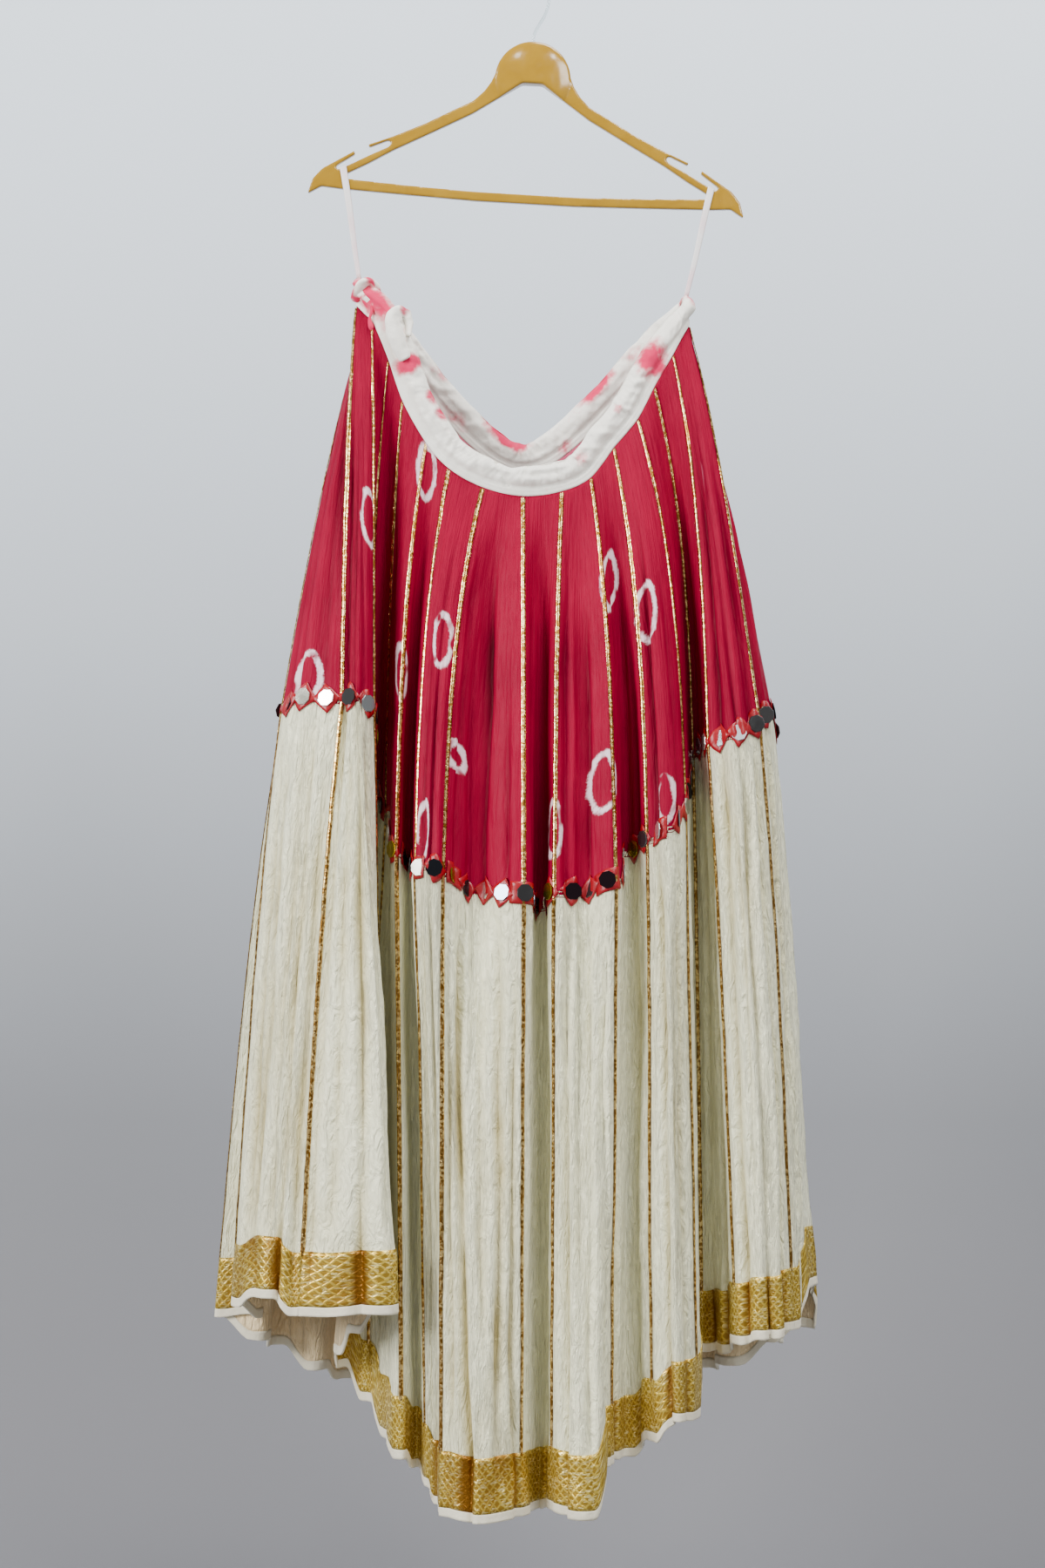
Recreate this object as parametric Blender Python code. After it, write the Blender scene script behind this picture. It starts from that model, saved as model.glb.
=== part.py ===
"""Lehenga skirt on a moulded hanger: a flared skirt of 26 kalis in two tiers, hung by two ribbon loops.

Frame: metres, +Z up, +X to the right, the front of the skirt faces -Y.
The origin is the inner top of the hook, where the hanger rests on its rail.
"""
import math
from functools import lru_cache

import bmesh
import bpy
import numpy as np
from mathutils import Vector

MM = 0.001

# ---- driving sizes --------------------------------------------------------------------------------
GAP = 0.3 * MM                 # between pieces at a seam, and under what lies on a panel
WALL = 1.5 * MM                # cloth wall: the silk with its seam allowances
SKIN = 1.0 * MM                # trim and border that lie on the cloth
TRIM_LIFT = 0.5 * MM           # and how far out of it they start, over its slanting facets

UPPER_LENGTH = 410 * MM        # magenta tier, along the seam
LOWER_LENGTH = 582 * MM        # cream tier with its border, along the seam
BORDER_HEIGHT = 52 * MM
FACING_HEIGHT = 10 * MM
FACING_GAP = 0.6 * MM          # measured down the cloth, where the hem slants between its folds
TRIM_ABOVE = 24 * MM           # mirror trim above the joint of the tiers
TRIM_BELOW = 7 * MM            # and the tips of its ribbon below it

HEM = UPPER_LENGTH + LOWER_LENGTH
SKIRT_LENGTH = HEM + FACING_HEIGHT
ROW_CODE = 1000                # a vertex keeps its place in a grid as column * ROW_CODE + row

FRONT_KALIS = 14
BACK_KALIS = 12
KALIS = FRONT_KALIS + BACK_KALIS
COLUMNS_PER_FOLD = 3           # two folds (a lobe and a valley) to each kali
COLUMNS_PER_KALI = 2 * COLUMNS_PER_FOLD
COLUMNS = KALIS * COLUMNS_PER_KALI

# Rows of the two tiers, as distances down the cloth from the waist seam.
UPPER_ROWS = [GAP, 70 * MM, 165 * MM, 275 * MM, UPPER_LENGTH - TRIM_ABOVE, UPPER_LENGTH - GAP / 2]
LOWER_ROWS = [UPPER_LENGTH + GAP / 2, UPPER_LENGTH + TRIM_BELOW, 575 * MM, 750 * MM, HEM - BORDER_HEIGHT, HEM]

# ---- the folds ------------------------------------------------------------------------------------
# One row for each seam and each fold between two seams, from the left end of the waist across the front.
# Millimetres: the place on the waist seam, then where the cloth hangs at the joint of the tiers
# and at the hem. Negative y is towards the viewer. A fold has no place of its own on the waist.
# A level is the height that the cloth at that fold would start from if it hung straight down: a lobe hangs
# level, and the steps from one lobe to the next lie in the folds between them.
#                                joint at the tiers   hem
#        name  waist_x waist_z     x     y  level      x     y  level
FRONT = [
    ("seam_00", -179, -356,   -191,  -72, -357,   -230, -100, -368),
    ("fold_00", None, None,   -174,  -82, -355,   -143, -114, -364),
    ("seam_01", -163, -373,   -158,  -66, -366,   -150,  -72, -362),
    ("fold_01", None, None,   -160,  -38, -392,   -178,  -53, -385),
    ("seam_02", -146, -413,   -166,  -14, -420,   -196,  -30, -410),
    ("fold_02", None, None,   -158,    4, -440,   -194,   -4, -430),
    ("seam_03", -132, -454,   -148,  -12, -462,   -168,    0, -462),
    ("fold_03", None, None,   -145,  -38, -485,   -148,  -34, -492),
    ("seam_04", -108, -497,   -136,  -66, -505,   -131,  -72, -508),
    ("fold_04", None, None,   -124,  -38, -515,   -117,  -40, -520),
    ("seam_05",  -85, -523,   -117,  -84, -522,   -107,  -66, -538),
    ("fold_05", None, None,   -106, -106, -523,    -98,  -78, -560),
    ("seam_06",  -51, -542,    -89,  -97, -528,    -92, -100, -562),
    ("fold_06", None, None,    -60,  -68, -543,    -53, -126, -562),
    ("seam_07",  -11, -551,    -10, -104, -548,    -12, -100, -561),
    ("fold_07", None, None,      5,  -54, -556,      4,  -52, -557),
    ("seam_08",   28, -546,     20,  -94, -545,     18,  -84, -556),
    ("fold_08", None, None,     44,  -78, -544,     47, -120, -557),
    ("seam_09",   57, -532,     80,  -98, -535,     76,  -90, -512),
    ("fold_09", None, None,     93,  -52, -503,     92,  -60, -506),
    ("seam_10",   80, -502,    111,  -84, -494,    117,  -82, -490),
    ("fold_10", None, None,    131,  -98, -486,    140, -110, -470),
    ("seam_11",  104, -473,    150,  -70, -462,    160,  -86, -468),
    ("fold_11", None, None,    156,  -40, -435,    163,  -48, -440),
    ("seam_12",  121, -440,    160,  -16, -408,    169,  -12, -412),
    ("fold_12", None, None,    166,  -38, -398,    186,  -40, -408),
    ("seam_13",  140, -407,    172,  -66, -397,    200,  -74, -396),
    ("fold_13", None, None,    198,  -86, -396,    229,  -98, -394),
    ("seam_14",  156, -376,    224,  -66, -386,    256,  -76, -388),
    ("fold_14", None, None,    238,  -42, -372,    272,  -50, -352),
]
# The fold between the last seam of the back and the first of the front.
LAST_FOLD = ("fold_25", None, None, -228, -62, -357, -264, -94, -354)

# The back hangs in folds on an oval, from the right side round to the left. Its folds are pressed in by
# fold_depth, unevenly; last_angle is how far it goes past the half turn.
BACK_JOINT = dict(centre_x=-14, half_x=255, half_y=88, fold_depth=33, first_angle=-0.15, last_angle=0.36)
BACK_HEM = dict(centre_x=-24, half_x=303, half_y=120, fold_depth=48, first_angle=-0.15, last_angle=0.42)
BACK_WAIST_LOW = -522          # lowest point of the back waist seam, in mm
BACK_SAG_ROUND = 0.35          # the back waist seam runs almost straight to its rounded lowest point
BACK_CROWDING = 0.05           # its kalis are bunched towards the two ends
WAIST_ROUND = 0.5              # the waist is an oval, seen from above
WAIST_CENTRE = -11
WAIST_HALF = 168
WAIST_FRONT_DEPTH = 34
WAIST_BACK_DEPTH = 30

BOWED = 1 / 8                  # a fold's place on the waist, past the line between its seams
FRONT_TURN = 0.7               # how far the front seams leave the band squarely before they turn down
FRONT_TURN_ENDS = 3            # the last folds at the right end hang as the back does
BACK_TURN = 0.2
DEPTH_TURN = 0.35              # the same, for how fast the folds deepen below the band
LOWER_TURN = 0.25              # and for the lower tier
FOLD_ROUNDNESS = 0.85          # length of the curve's handles at a fold, as a share of the chord
STEEPEST_SLANT = 0.85          # the cloth falls at least this share of its length
STEPPED_BELOW = 150 * MM       # from here down a lobe is level and the steps lie between the lobes
UNEVEN = dict(mean=0.86, swing=0.16, pace=2.4)         # how the depth of the back's folds varies

# ---- waistband, loops, hanger ---------------------------------------------------------------------
BAND_WIDTH = 30 * MM
BAND_THICKNESS = 10 * MM
BAND_SIDES = 8
BAND_PUFF = 0.16               # share by which the gathers swell and pinch the band
APEX_LEAN = 0.08               # the band stands up at its two ends, leaning this far
APEX_START = 0.84              # shares of the waist's half width between which it comes upright
APEX_END = 0.96

LOOP_WIDTH = 7 * MM
LOOP_THICKNESS = 1.2 * MM
LOOP_REACH = 186.0 * MM        # along the hanger arm from its middle
LOOP_ARC_STEPS = 6
# The two legs of a loop meet on the band and spread to pass the hanger's bar and rail:
# the share of the way up, and the share of the full spread there.
LOOP_LEG = [(0, 0.08), (0.4, 0.55), (0.78, 1.0), (0.93, 1.0)]

HANGER_TILT = math.radians(3.3)
HANGER_MIDDLE = Vector((-1 * MM, 0, -127.6 * MM))      # underside of the crown
HANGER_THICKNESS = 9 * MM
CROWN_RADIUS = 38.5 * MM
CROWN_STEPS = 9
RAIL_SLOPE = 0.548             # fall of the slot's lower rail, per unit of reach
RAIL_END = (190 * MM, -101.9 * MM)                     # outer end of the rail's top edge

HOOK_WIRE = 3.2 * MM
HOOK_INSIDE = 20 * MM          # inner radius of the bend
HOOK_STEPS = 16
HOOK_START = -35               # degrees: the bend runs from here, low on the right, over the top
HOOK_SWEEP = 235
HOOK_STEM = [(0, 0), (0, 6), (4, 15), (13, 31)]        # x and height above the crown, in mm

# One half of the hanger's outline in its own plane, in mm from the underside of the crown:
# down the top edge, round the strap slot with its two prongs, the end paddle, and back along the bar.
ARM_OUTLINE = [
    ("flank", 42, -5), ("flank", 48, -14), ("flank", 59, -25), ("arm", 76, -34), ("arm", 105, -50),
    ("arm", 137, -65), ("inner_prong", 162, -75), ("inner_prong", 161.5, -78), ("inner_prong", 142, -69.5),
    ("slot_end", 139.5, -71), ("slot_end", 139.5, -74), ("rail", 142, -76.5), ("rail", 161, -86),
    ("rail", 190, -101.9), ("slot_end", 192.8, -101), ("slot_end", 193.3, -98.2),
    ("outer_prong", 174.5, -85.3), ("outer_prong", 175.5, -82), ("paddle", 194, -93.5),
    ("paddle", 207, -101.5), ("paddle", 216, -112), ("paddle", 221, -128), ("paddle", 207, -119.5),
    ("bar", 188, -121), ("bar", 118, -123.5), ("bar", 50, -125.6),
]
HOLE_OUTLINE = [
    ("arm", 10, -5), ("arm", 59, -38), ("arm", 100, -60), ("arm", 137, -79.5), ("rail", 161, -94),
    ("rail", 185, -107), ("corner", 186, -110.5), ("bar", 118, -114), ("bar", 50, -116.5),
]

COLOURS = {                    # sRGB, 0 to 255, with roughness
    "magenta silk": ((184, 32, 74), 0.45),
    "cream crushed silk": ((206, 203, 182), 0.5),
    "mirror trim": ((200, 40, 60), 0.35),
    "zari brocade": ((185, 133, 50), 0.4),
    "white cotton": ((235, 233, 230), 0.8),
    "ribbon": ((238, 234, 232), 0.6),
    "moulded plastic": ((201, 165, 82), 0.25),
    "clear plastic": ((214, 224, 226), 0.2),
}


def linear(channel):
    """One sRGB channel, 0 to 255, as a linear value."""
    share = channel / 255
    return share / 12.92 if share <= 0.04045 else ((share + 0.055) / 1.055) ** 2.4


def make_material(node, kind):
    """A Principled material of the object's own."""
    colour, roughness = COLOURS[kind]
    material = bpy.data.materials.new(f"{node} {kind}")
    material.use_nodes = True
    shader = material.node_tree.nodes["Principled BSDF"]
    shader.inputs["Base Color"].default_value = (*(linear(channel) for channel in colour), 1)
    shader.inputs["Roughness"].default_value = roughness
    return material


# ---- the hanging cloth as one surface: column round the skirt, distance down it ---------------------
def arc_points(centre_x, half_x, half_y, fold_depth, first_angle, last_angle):
    """Seams and folds of the back, evenly spread along an oval: seams outside, folds pressed in."""
    angles = np.linspace(first_angle, math.pi + last_angle, 400)
    oval = np.stack([centre_x + half_x * np.cos(angles), half_y * np.sin(angles)], axis=1)
    run = np.concatenate([[0], np.cumsum(np.linalg.norm(np.diff(oval, axis=0), axis=1))])
    count = 2 * BACK_KALIS - 3                      # seams 15 to 25 and the folds between them
    places = np.interp(np.linspace(0, run[-1], count), run, angles)
    points = []
    for step, angle in enumerate(places):
        outward = np.array([math.cos(angle) / half_x, math.sin(angle) / half_y])
        outward /= np.linalg.norm(outward)
        point = np.array([centre_x + half_x * math.cos(angle), half_y * math.sin(angle)])
        if step % 2:
            share = UNEVEN["mean"] + UNEVEN["swing"] * math.sin(UNEVEN["pace"] * step)
            point = point - outward * fold_depth * share
        points.append(point)
    return points


def back_waist(step):
    """The back of the waist seam, which sags from the right end to the left one."""
    share = (step + 1) / (2 * BACK_KALIS - 1)
    right, left = FRONT[-2], FRONT[0]
    x = right[1] + (left[1] - right[1]) * (share - BACK_CROWDING * math.sin(2 * math.pi * share))
    end_z = right[2] + (left[2] - right[2]) * share
    aside = min(1.0, abs((x - WAIST_CENTRE) / WAIST_HALF))
    rise = math.hypot(aside, BACK_SAG_ROUND) - BACK_SAG_ROUND
    full_rise = math.hypot(1, BACK_SAG_ROUND) - BACK_SAG_ROUND
    return x, BACK_WAIST_LOW + (end_z - BACK_WAIST_LOW) * rise / full_rise


def waist_depth(x, depth):
    """How far the open waist stands out of its plane at x."""
    share = min(1.0, abs((x - WAIST_CENTRE) / WAIST_HALF))
    return depth * (1 - share ** 2) ** WAIST_ROUND


def control_points():
    """Waist, joint and hem places of every seam and fold, in metres, in order round the skirt.

    A fold's place on the waist is midway between the seams beside it, bowed out as they sag.
    The back keeps its waist's heights.
    """
    waist, joint, hem, levels = [], [], [], []
    for _, waist_x, waist_z, joint_x, joint_y, joint_level, hem_x, hem_y, hem_level in FRONT:
        is_fold = waist_x is None
        waist.append(None if is_fold else (waist_x, -waist_depth(waist_x, WAIST_FRONT_DEPTH), waist_z))
        joint.append((joint_x, joint_y))
        hem.append((hem_x, hem_y))
        levels.append((joint_level, hem_level))
    back_joint = arc_points(**BACK_JOINT)
    back_hem = arc_points(**BACK_HEM)
    for step, (at_joint, at_hem) in enumerate(zip(back_joint, back_hem)):
        x, z = back_waist(step + 1)
        waist.append((x, waist_depth(x, WAIST_BACK_DEPTH), z))
        joint.append(tuple(at_joint))
        hem.append(tuple(at_hem))
        levels.append((z, z))
    waist.append(None)
    joint.append(LAST_FOLD[3:5])
    hem.append(LAST_FOLD[6:8])
    levels.append((LAST_FOLD[5], LAST_FOLD[8]))
    waist = [None if place is None else np.array(place) for place in waist]
    for index, place in enumerate(waist):
        if place is None:
            waist[index] = (waist[index - 1] + waist[(index + 1) % len(waist)]) / 2
            if 3 <= index <= len(FRONT) - 5:
                waist[index] += (waist[index] - (waist[index - 3] + waist[index + 3]) / 2) * BOWED
    levels = [(place[2], *level) for place, level in zip(waist, levels)]
    return np.array(waist) * MM, np.array(joint) * MM, np.array(hem) * MM, np.array(levels) * MM


WAIST, JOINT, HEM_PLACES, LEVELS = control_points()
TURNING = len(FRONT) - FRONT_TURN_ENDS
IS_FRONT = np.array([1.0] * TURNING + [0.0] * (2 * KALIS - TURNING))


def turned(share, amount):
    """Ease from 0 to 1 that starts fast by the given amount."""
    return (1 - amount) * share + amount * (1 - (1 - share) ** 3)


def plan(distance):
    """Where every seam and fold is, seen from above, at a distance down the cloth."""
    if distance <= UPPER_LENGTH:
        share = distance / UPPER_LENGTH
        turn = FRONT_TURN * IS_FRONT + BACK_TURN * (1 - IS_FRONT)
        across = turned(share, turn)
        depth = turned(share, DEPTH_TURN)
        x = WAIST[:, 0] + (JOINT[:, 0] - WAIST[:, 0]) * across
        y = WAIST[:, 1] + (JOINT[:, 1] - WAIST[:, 1]) * depth
    else:
        share = turned((distance - UPPER_LENGTH) / LOWER_LENGTH, LOWER_TURN)
        x = JOINT[:, 0] + (HEM_PLACES[:, 0] - JOINT[:, 0]) * share
        y = JOINT[:, 1] + (HEM_PLACES[:, 1] - JOINT[:, 1]) * share
    return np.stack([x, y], axis=1)


def falls():
    """Height of every seam and fold at even distances down: the cloth keeps its length as it slants."""
    distances = np.linspace(0, SKIRT_LENGTH, 60)
    plans = np.array([plan(distance) for distance in distances])
    aside = np.linalg.norm(np.diff(plans, axis=0), axis=2)
    step = distances[1]
    drop = np.sqrt(np.maximum(step ** 2 - aside ** 2, (STEEPEST_SLANT * step) ** 2))
    return distances, np.concatenate([np.zeros((1, len(WAIST))), np.cumsum(drop, axis=0)])


DISTANCES, DROPS = falls()


@lru_cache(maxsize=None)
def section(distance):
    """The closed section of the cloth: points and outward normals for every column."""
    drop = np.array([np.interp(distance, DISTANCES, DROPS[:, k]) for k in range(len(WAIST))])
    level = np.array([np.interp(distance, [0, UPPER_LENGTH, HEM], heights) for heights in LEVELS])
    control = np.column_stack([plan(distance), level - drop])
    ahead = np.roll(control, -1, axis=0)
    behind = np.roll(control, 1, axis=0)
    direction = ahead - behind
    direction /= np.linalg.norm(direction, axis=1)[:, None]
    chord = np.linalg.norm(ahead - control, axis=1)[:, None]
    leave = direction * chord * FOLD_ROUNDNESS
    arrive = np.roll(direction, -1, axis=0) * chord * FOLD_ROUNDNESS
    points = np.empty((COLUMNS, 3))
    stepped = min(1.0, distance / STEPPED_BELOW)
    for part in range(COLUMNS_PER_FOLD):
        t = part / COLUMNS_PER_FOLD
        rise = 3 * t ** 2 - 2 * t ** 3
        smooth = ((1 - rise) * control + (t ** 3 - 2 * t ** 2 + t) * leave
                  + rise * ahead + (t ** 3 - t ** 2) * arrive)
        level = (1 - rise) * control[:, 2] + rise * ahead[:, 2]
        smooth[:, 2] += (level - smooth[:, 2]) * stepped
        points[part::COLUMNS_PER_FOLD] = smooth
    tangent = np.roll(points, -1, axis=0) - np.roll(points, 1, axis=0)
    tangent /= np.linalg.norm(tangent, axis=1)[:, None]
    normal = np.column_stack([tangent[:, 1], -tangent[:, 0], np.zeros(COLUMNS)])
    normal /= np.linalg.norm(normal, axis=1)[:, None]
    return points, normal, tangent


def cloth_point(column, distance, out=0.0, aside=0.0):
    """A point of the cloth, moved out of it along its normal and aside along its section."""
    points, normal, tangent = section(distance)
    column %= COLUMNS
    return Vector(points[column] + normal[column] * out + tangent[column] * aside)


# ---- mesh helpers ---------------------------------------------------------------------------------
def face_outwards(mesh):
    """Turn every face of a closed mesh to point out of it."""
    bmesh.ops.recalc_face_normals(mesh, faces=mesh.faces[:])
    if mesh.calc_volume(signed=True) < 0:
        bmesh.ops.reverse_faces(mesh, faces=mesh.faces[:])


def link(node, data, kind):
    """An object with its own material, in the skirt's collection."""
    piece = bpy.data.objects.new(node, data)
    data.materials.append(make_material(node, kind))
    bpy.data.collections["lehenga skirt on a hanger"].objects.link(piece)
    return piece


def shell(node, kind, columns, rows, outside, inside, closed=False):
    """A wall: a grid laid on the outside, triangulated, then extruded to the inside."""
    mesh = bmesh.new()
    mark = mesh.verts.layers.int.new("place")
    bmesh.ops.create_grid(mesh, x_segments=columns, y_segments=rows, size=1)
    for vert in mesh.verts:
        column = round((vert.co.x + 1) / 2 * columns)
        row = round((1 - vert.co.y) / 2 * rows)
        vert[mark] = column * ROW_CODE + row
        vert.co = outside(column, row)
    if closed:
        first = {vert[mark]: vert for vert in mesh.verts if vert[mark] < ROW_CODE}
        last = [vert for vert in mesh.verts if vert[mark] >= columns * ROW_CODE]
        bmesh.ops.weld_verts(mesh, targetmap={vert: first[vert[mark] % ROW_CODE] for vert in last})
    bmesh.ops.triangulate(mesh, faces=mesh.faces[:], quad_method="FIXED")
    made = bmesh.ops.extrude_face_region(mesh, geom=mesh.faces[:])
    for vert in made["geom"]:
        if isinstance(vert, bmesh.types.BMVert):
            vert.co = inside(*divmod(vert[mark], ROW_CODE))
    bmesh.ops.triangulate(mesh, faces=mesh.faces[:], quad_method="SHORT_EDGE")
    face_outwards(mesh)
    data = bpy.data.meshes.new(node)
    mesh.to_mesh(data)
    mesh.free()
    data.shade_smooth()
    data.set_sharp_from_angle(angle=math.radians(50))
    return link(node, data, kind)


# ---- the skirt ------------------------------------------------------------------------------------
def make_kali(node, kind, kali, rows):
    """One kali (gore) of a tier, 0.3 mm clear of its neighbours at both seams."""
    first = kali * COLUMNS_PER_KALI

    def place(column, row, out):
        aside = {0: GAP / 2, COLUMNS_PER_KALI: -GAP / 2}.get(column, 0)
        return cloth_point(first + column, rows[row], out, aside)

    return shell(node, kind, COLUMNS_PER_KALI, len(rows) - 1,
                 lambda column, row: place(column, row, 0),
                 lambda column, row: place(column, row, -WALL))


def make_kalis():
    for kali in range(KALIS):
        make_kali(f"kali_upper_{kali + 1:02d}", "magenta silk", kali, UPPER_ROWS)
        make_kali(f"kali_lower_{kali + 1:02d}", "cream crushed silk", kali, LOWER_ROWS)


def make_ring(node, kind, rows, outer, inner):
    """A strip all round the skirt, between two distances out of the cloth."""
    return shell(node, kind, COLUMNS, len(rows) - 1,
                 lambda column, row: cloth_point(column, rows[row], outer),
                 lambda column, row: cloth_point(column, rows[row], inner), closed=True)


def make_trims():
    trim_rows = [UPPER_LENGTH - TRIM_ABOVE, UPPER_LENGTH, UPPER_LENGTH + TRIM_BELOW]
    make_ring("mirror_trim", "mirror trim", trim_rows, TRIM_LIFT + SKIN, TRIM_LIFT)
    make_ring("zari_border", "zari brocade", [HEM - BORDER_HEIGHT, HEM], TRIM_LIFT + SKIN, TRIM_LIFT)
    make_ring("hem_facing", "white cotton", [HEM + FACING_GAP, SKIRT_LENGTH], 0, -WALL)


# ---- waistband ------------------------------------------------------------------------------------
def band_frame(column):
    """Middle of the band beside a column of the waist seam, and the direction across its width."""
    points, _, tangent = section(0.0)
    along = tangent[column]
    across = Vector((-along[2], 0, along[0])) if along[0] > 0 else Vector((along[2], 0, -along[0]))
    across = across.normalized() if across.length > 1e-6 else Vector((0, 0, 1))
    seam = Vector(points[column])
    share = abs(seam.x - WAIST_CENTRE * MM) / (WAIST_HALF * MM)
    upright = Vector((math.copysign(APEX_LEAN, -seam.x), 0, 1)).normalized()
    blend = max(0.0, min(1.0, (share - APEX_START) / (APEX_END - APEX_START)))
    across = across.lerp(upright, blend).normalized()
    return seam + across * BAND_WIDTH / 2, across


def make_waistband():
    """The puffy band: an oval section carried round the waist, pinched and swollen by its gathers."""
    mesh = bmesh.new()
    rings = []
    for column in range(COLUMNS):
        middle, across = band_frame(column)
        out = Vector(section(0.0)[1][column])
        swell = 1 + BAND_PUFF * math.sin(column * math.pi / COLUMNS_PER_FOLD)
        ring = []
        for side in range(BAND_SIDES):
            angle = 2 * math.pi * side / BAND_SIDES
            ring.append(mesh.verts.new(middle + across * (BAND_WIDTH / 2 * math.cos(angle))
                                       + out * (BAND_THICKNESS / 2 * swell * math.sin(angle))))
        rings.append(ring)
    for column in range(COLUMNS):
        here, ahead = rings[column], rings[(column + 1) % COLUMNS]
        for side in range(BAND_SIDES):
            other = (side + 1) % BAND_SIDES
            mesh.faces.new([here[side], ahead[side], ahead[other], here[other]])
    bmesh.ops.triangulate(mesh, faces=mesh.faces[:], quad_method="FIXED")
    face_outwards(mesh)
    data = bpy.data.meshes.new("waistband")
    mesh.to_mesh(data)
    mesh.free()
    data.shade_smooth()
    return link("waistband", data, "white cotton")


# ---- hanger, hook and loops -----------------------------------------------------------------------
def on_hanger(reach, height, depth=0.0):
    """A point given in the hanger's own plane, turned with its tilt."""
    cosine, sine = math.cos(HANGER_TILT), math.sin(HANGER_TILT)
    return HANGER_MIDDLE + Vector((reach * cosine + height * sine, depth, height * cosine - reach * sine))


def add_outline(curve, places):
    spline = curve.splines.new("POLY")
    spline.points.add(len(places) - 1)
    for point, (x, z) in zip(spline.points, places):
        point.co = (x, z, 0, 1)
    spline.use_cyclic_u = True


def both_halves(half):
    """A half outline from the middle outwards, and its mirror image back to the middle."""
    return half + [(-x, z) for x, z in reversed(half)]


def make_hanger():
    """The moulded hanger: a flat outline with its triangle and two strap slots, given its thickness."""
    crown = []
    for step in range(CROWN_STEPS):
        angle = math.radians(85 - 80 * step / (CROWN_STEPS - 1))
        crown.append((CROWN_RADIUS * math.cos(angle), CROWN_RADIUS * math.sin(angle)))
    outline = crown + [(x * MM, z * MM) for _, x, z in ARM_OUTLINE]
    hole = [(x * MM, z * MM) for _, x, z in HOLE_OUTLINE]
    curve = bpy.data.curves.new("hanger", "CURVE")
    curve.dimensions = "2D"
    curve.fill_mode = "BOTH"
    curve.extrude = HANGER_THICKNESS / 2
    add_outline(curve, both_halves(outline))
    add_outline(curve, both_halves(hole))
    hanger = link("hanger", curve, "moulded plastic")
    hanger.location = HANGER_MIDDLE
    hanger.rotation_euler = (math.radians(90), HANGER_TILT, 0)
    return hanger


def hook_points():
    """The wire: up out of the crown, leaning right, then over the rail and a little down the left."""
    radius = HOOK_INSIDE + HOOK_WIRE / 2
    base = HANGER_MIDDLE.z + CROWN_RADIUS + GAP
    stem = [(x * MM, base + height * MM) for x, height in HOOK_STEM]
    bend = []
    for step in range(HOOK_STEPS + 1):
        angle = math.radians(HOOK_START + HOOK_SWEEP * step / HOOK_STEPS)
        bend.append((radius * math.cos(angle), radius * math.sin(angle) - HOOK_INSIDE))
    return stem + bend


def make_hook():
    curve = bpy.data.curves.new("hanger_hook", "CURVE")
    curve.dimensions = "3D"
    curve.bevel_depth = HOOK_WIRE / 2
    curve.bevel_resolution = 2
    curve.use_fill_caps = True
    places = hook_points()
    spline = curve.splines.new("POLY")
    spline.points.add(len(places) - 1)
    for point, (x, z) in zip(spline.points, places):
        point.co = (x, 0, z, 1)
    return link("hanger_hook", curve, "clear plastic")


def loop_path(side):
    """Middle line of a ribbon loop from the band up the front, over the slot's rail and down the back.

    Each row is a point, the direction out of the ribbon and the direction across it.
    """
    column = 0 if side < 0 else 2 * FRONT_KALIS * COLUMNS_PER_FOLD
    middle, across_band = band_frame(column)
    foot = middle + across_band * (BAND_WIDTH / 2 + GAP)
    foot.y = 0
    rail_height = RAIL_END[1] + (RAIL_END[0] - LOOP_REACH) * RAIL_SLOPE
    top = on_hanger(side * LOOP_REACH, rail_height)
    slope = on_hanger(side * 1.0, -RAIL_SLOPE) - on_hanger(0, 0)
    across_top = slope.normalized() * side
    up = Vector((-across_top.z, 0, across_top.x))
    half = HANGER_THICKNESS / 2 + GAP
    across_foot = Vector((1, 0, 0))
    path = []
    for share, spread in LOOP_LEG:
        place = foot.lerp(top, share) + Vector((0, -half * spread, 0))
        path.append((place, Vector((0, -1, 0)), across_foot.lerp(across_top, share)))
    for step in range(LOOP_ARC_STEPS + 1):
        angle = math.pi * step / LOOP_ARC_STEPS
        out = Vector((0, -math.cos(angle), 0)) + up * math.sin(angle)
        corner = Vector((0, -half * math.cos(angle) / max(abs(math.cos(angle)), math.sin(angle)), 0))
        rise = GAP * math.sin(angle) / max(abs(math.cos(angle)), math.sin(angle))
        path.append((top + corner + up * rise, out, across_top))
    for share, spread in reversed(LOOP_LEG):
        place = foot.lerp(top, share) + Vector((0, half * spread, 0))
        path.append((place, Vector((0, 1, 0)), across_foot.lerp(across_top, share)))
    return path


def make_loop(node, side):
    path = loop_path(side)

    def place(column, row, out):
        middle, outward, across = path[row]
        return middle + outward * out + across.normalized() * (LOOP_WIDTH * (column / 2 - 0.5))

    return shell(node, "ribbon", 2, len(path) - 1,
                 lambda column, row: place(column, row, LOOP_THICKNESS),
                 lambda column, row: place(column, row, 0))


def main():
    for old in list(bpy.data.objects):
        bpy.data.objects.remove(old, do_unlink=True)
    collection = bpy.data.collections.new("lehenga skirt on a hanger")
    bpy.context.scene.collection.children.link(collection)
    make_kalis()
    make_trims()
    make_waistband()
    make_hanger()
    make_hook()
    make_loop("hanging_loop_left", -1)
    make_loop("hanging_loop_right", 1)


main()
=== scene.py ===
# %% [markdown]
# # A lehenga skirt on its hanger
# A lehenga is a long flared skirt, sewn from narrow gores that are called kalis. This one has two tiers: a
# dyed magenta silk one with tied white rings, and below it a longer one of crushed cream silk with a gold
# zari border. The cloth is modelled as one surface that is described by two numbers, the place round the
# skirt and the distance down it from the waist, so that everything sewn on it can be put on the same surface.

# %% The frame that every piece shares
import math

import bmesh
import bpy
import numpy as np
from mathutils import Matrix, Vector


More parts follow.
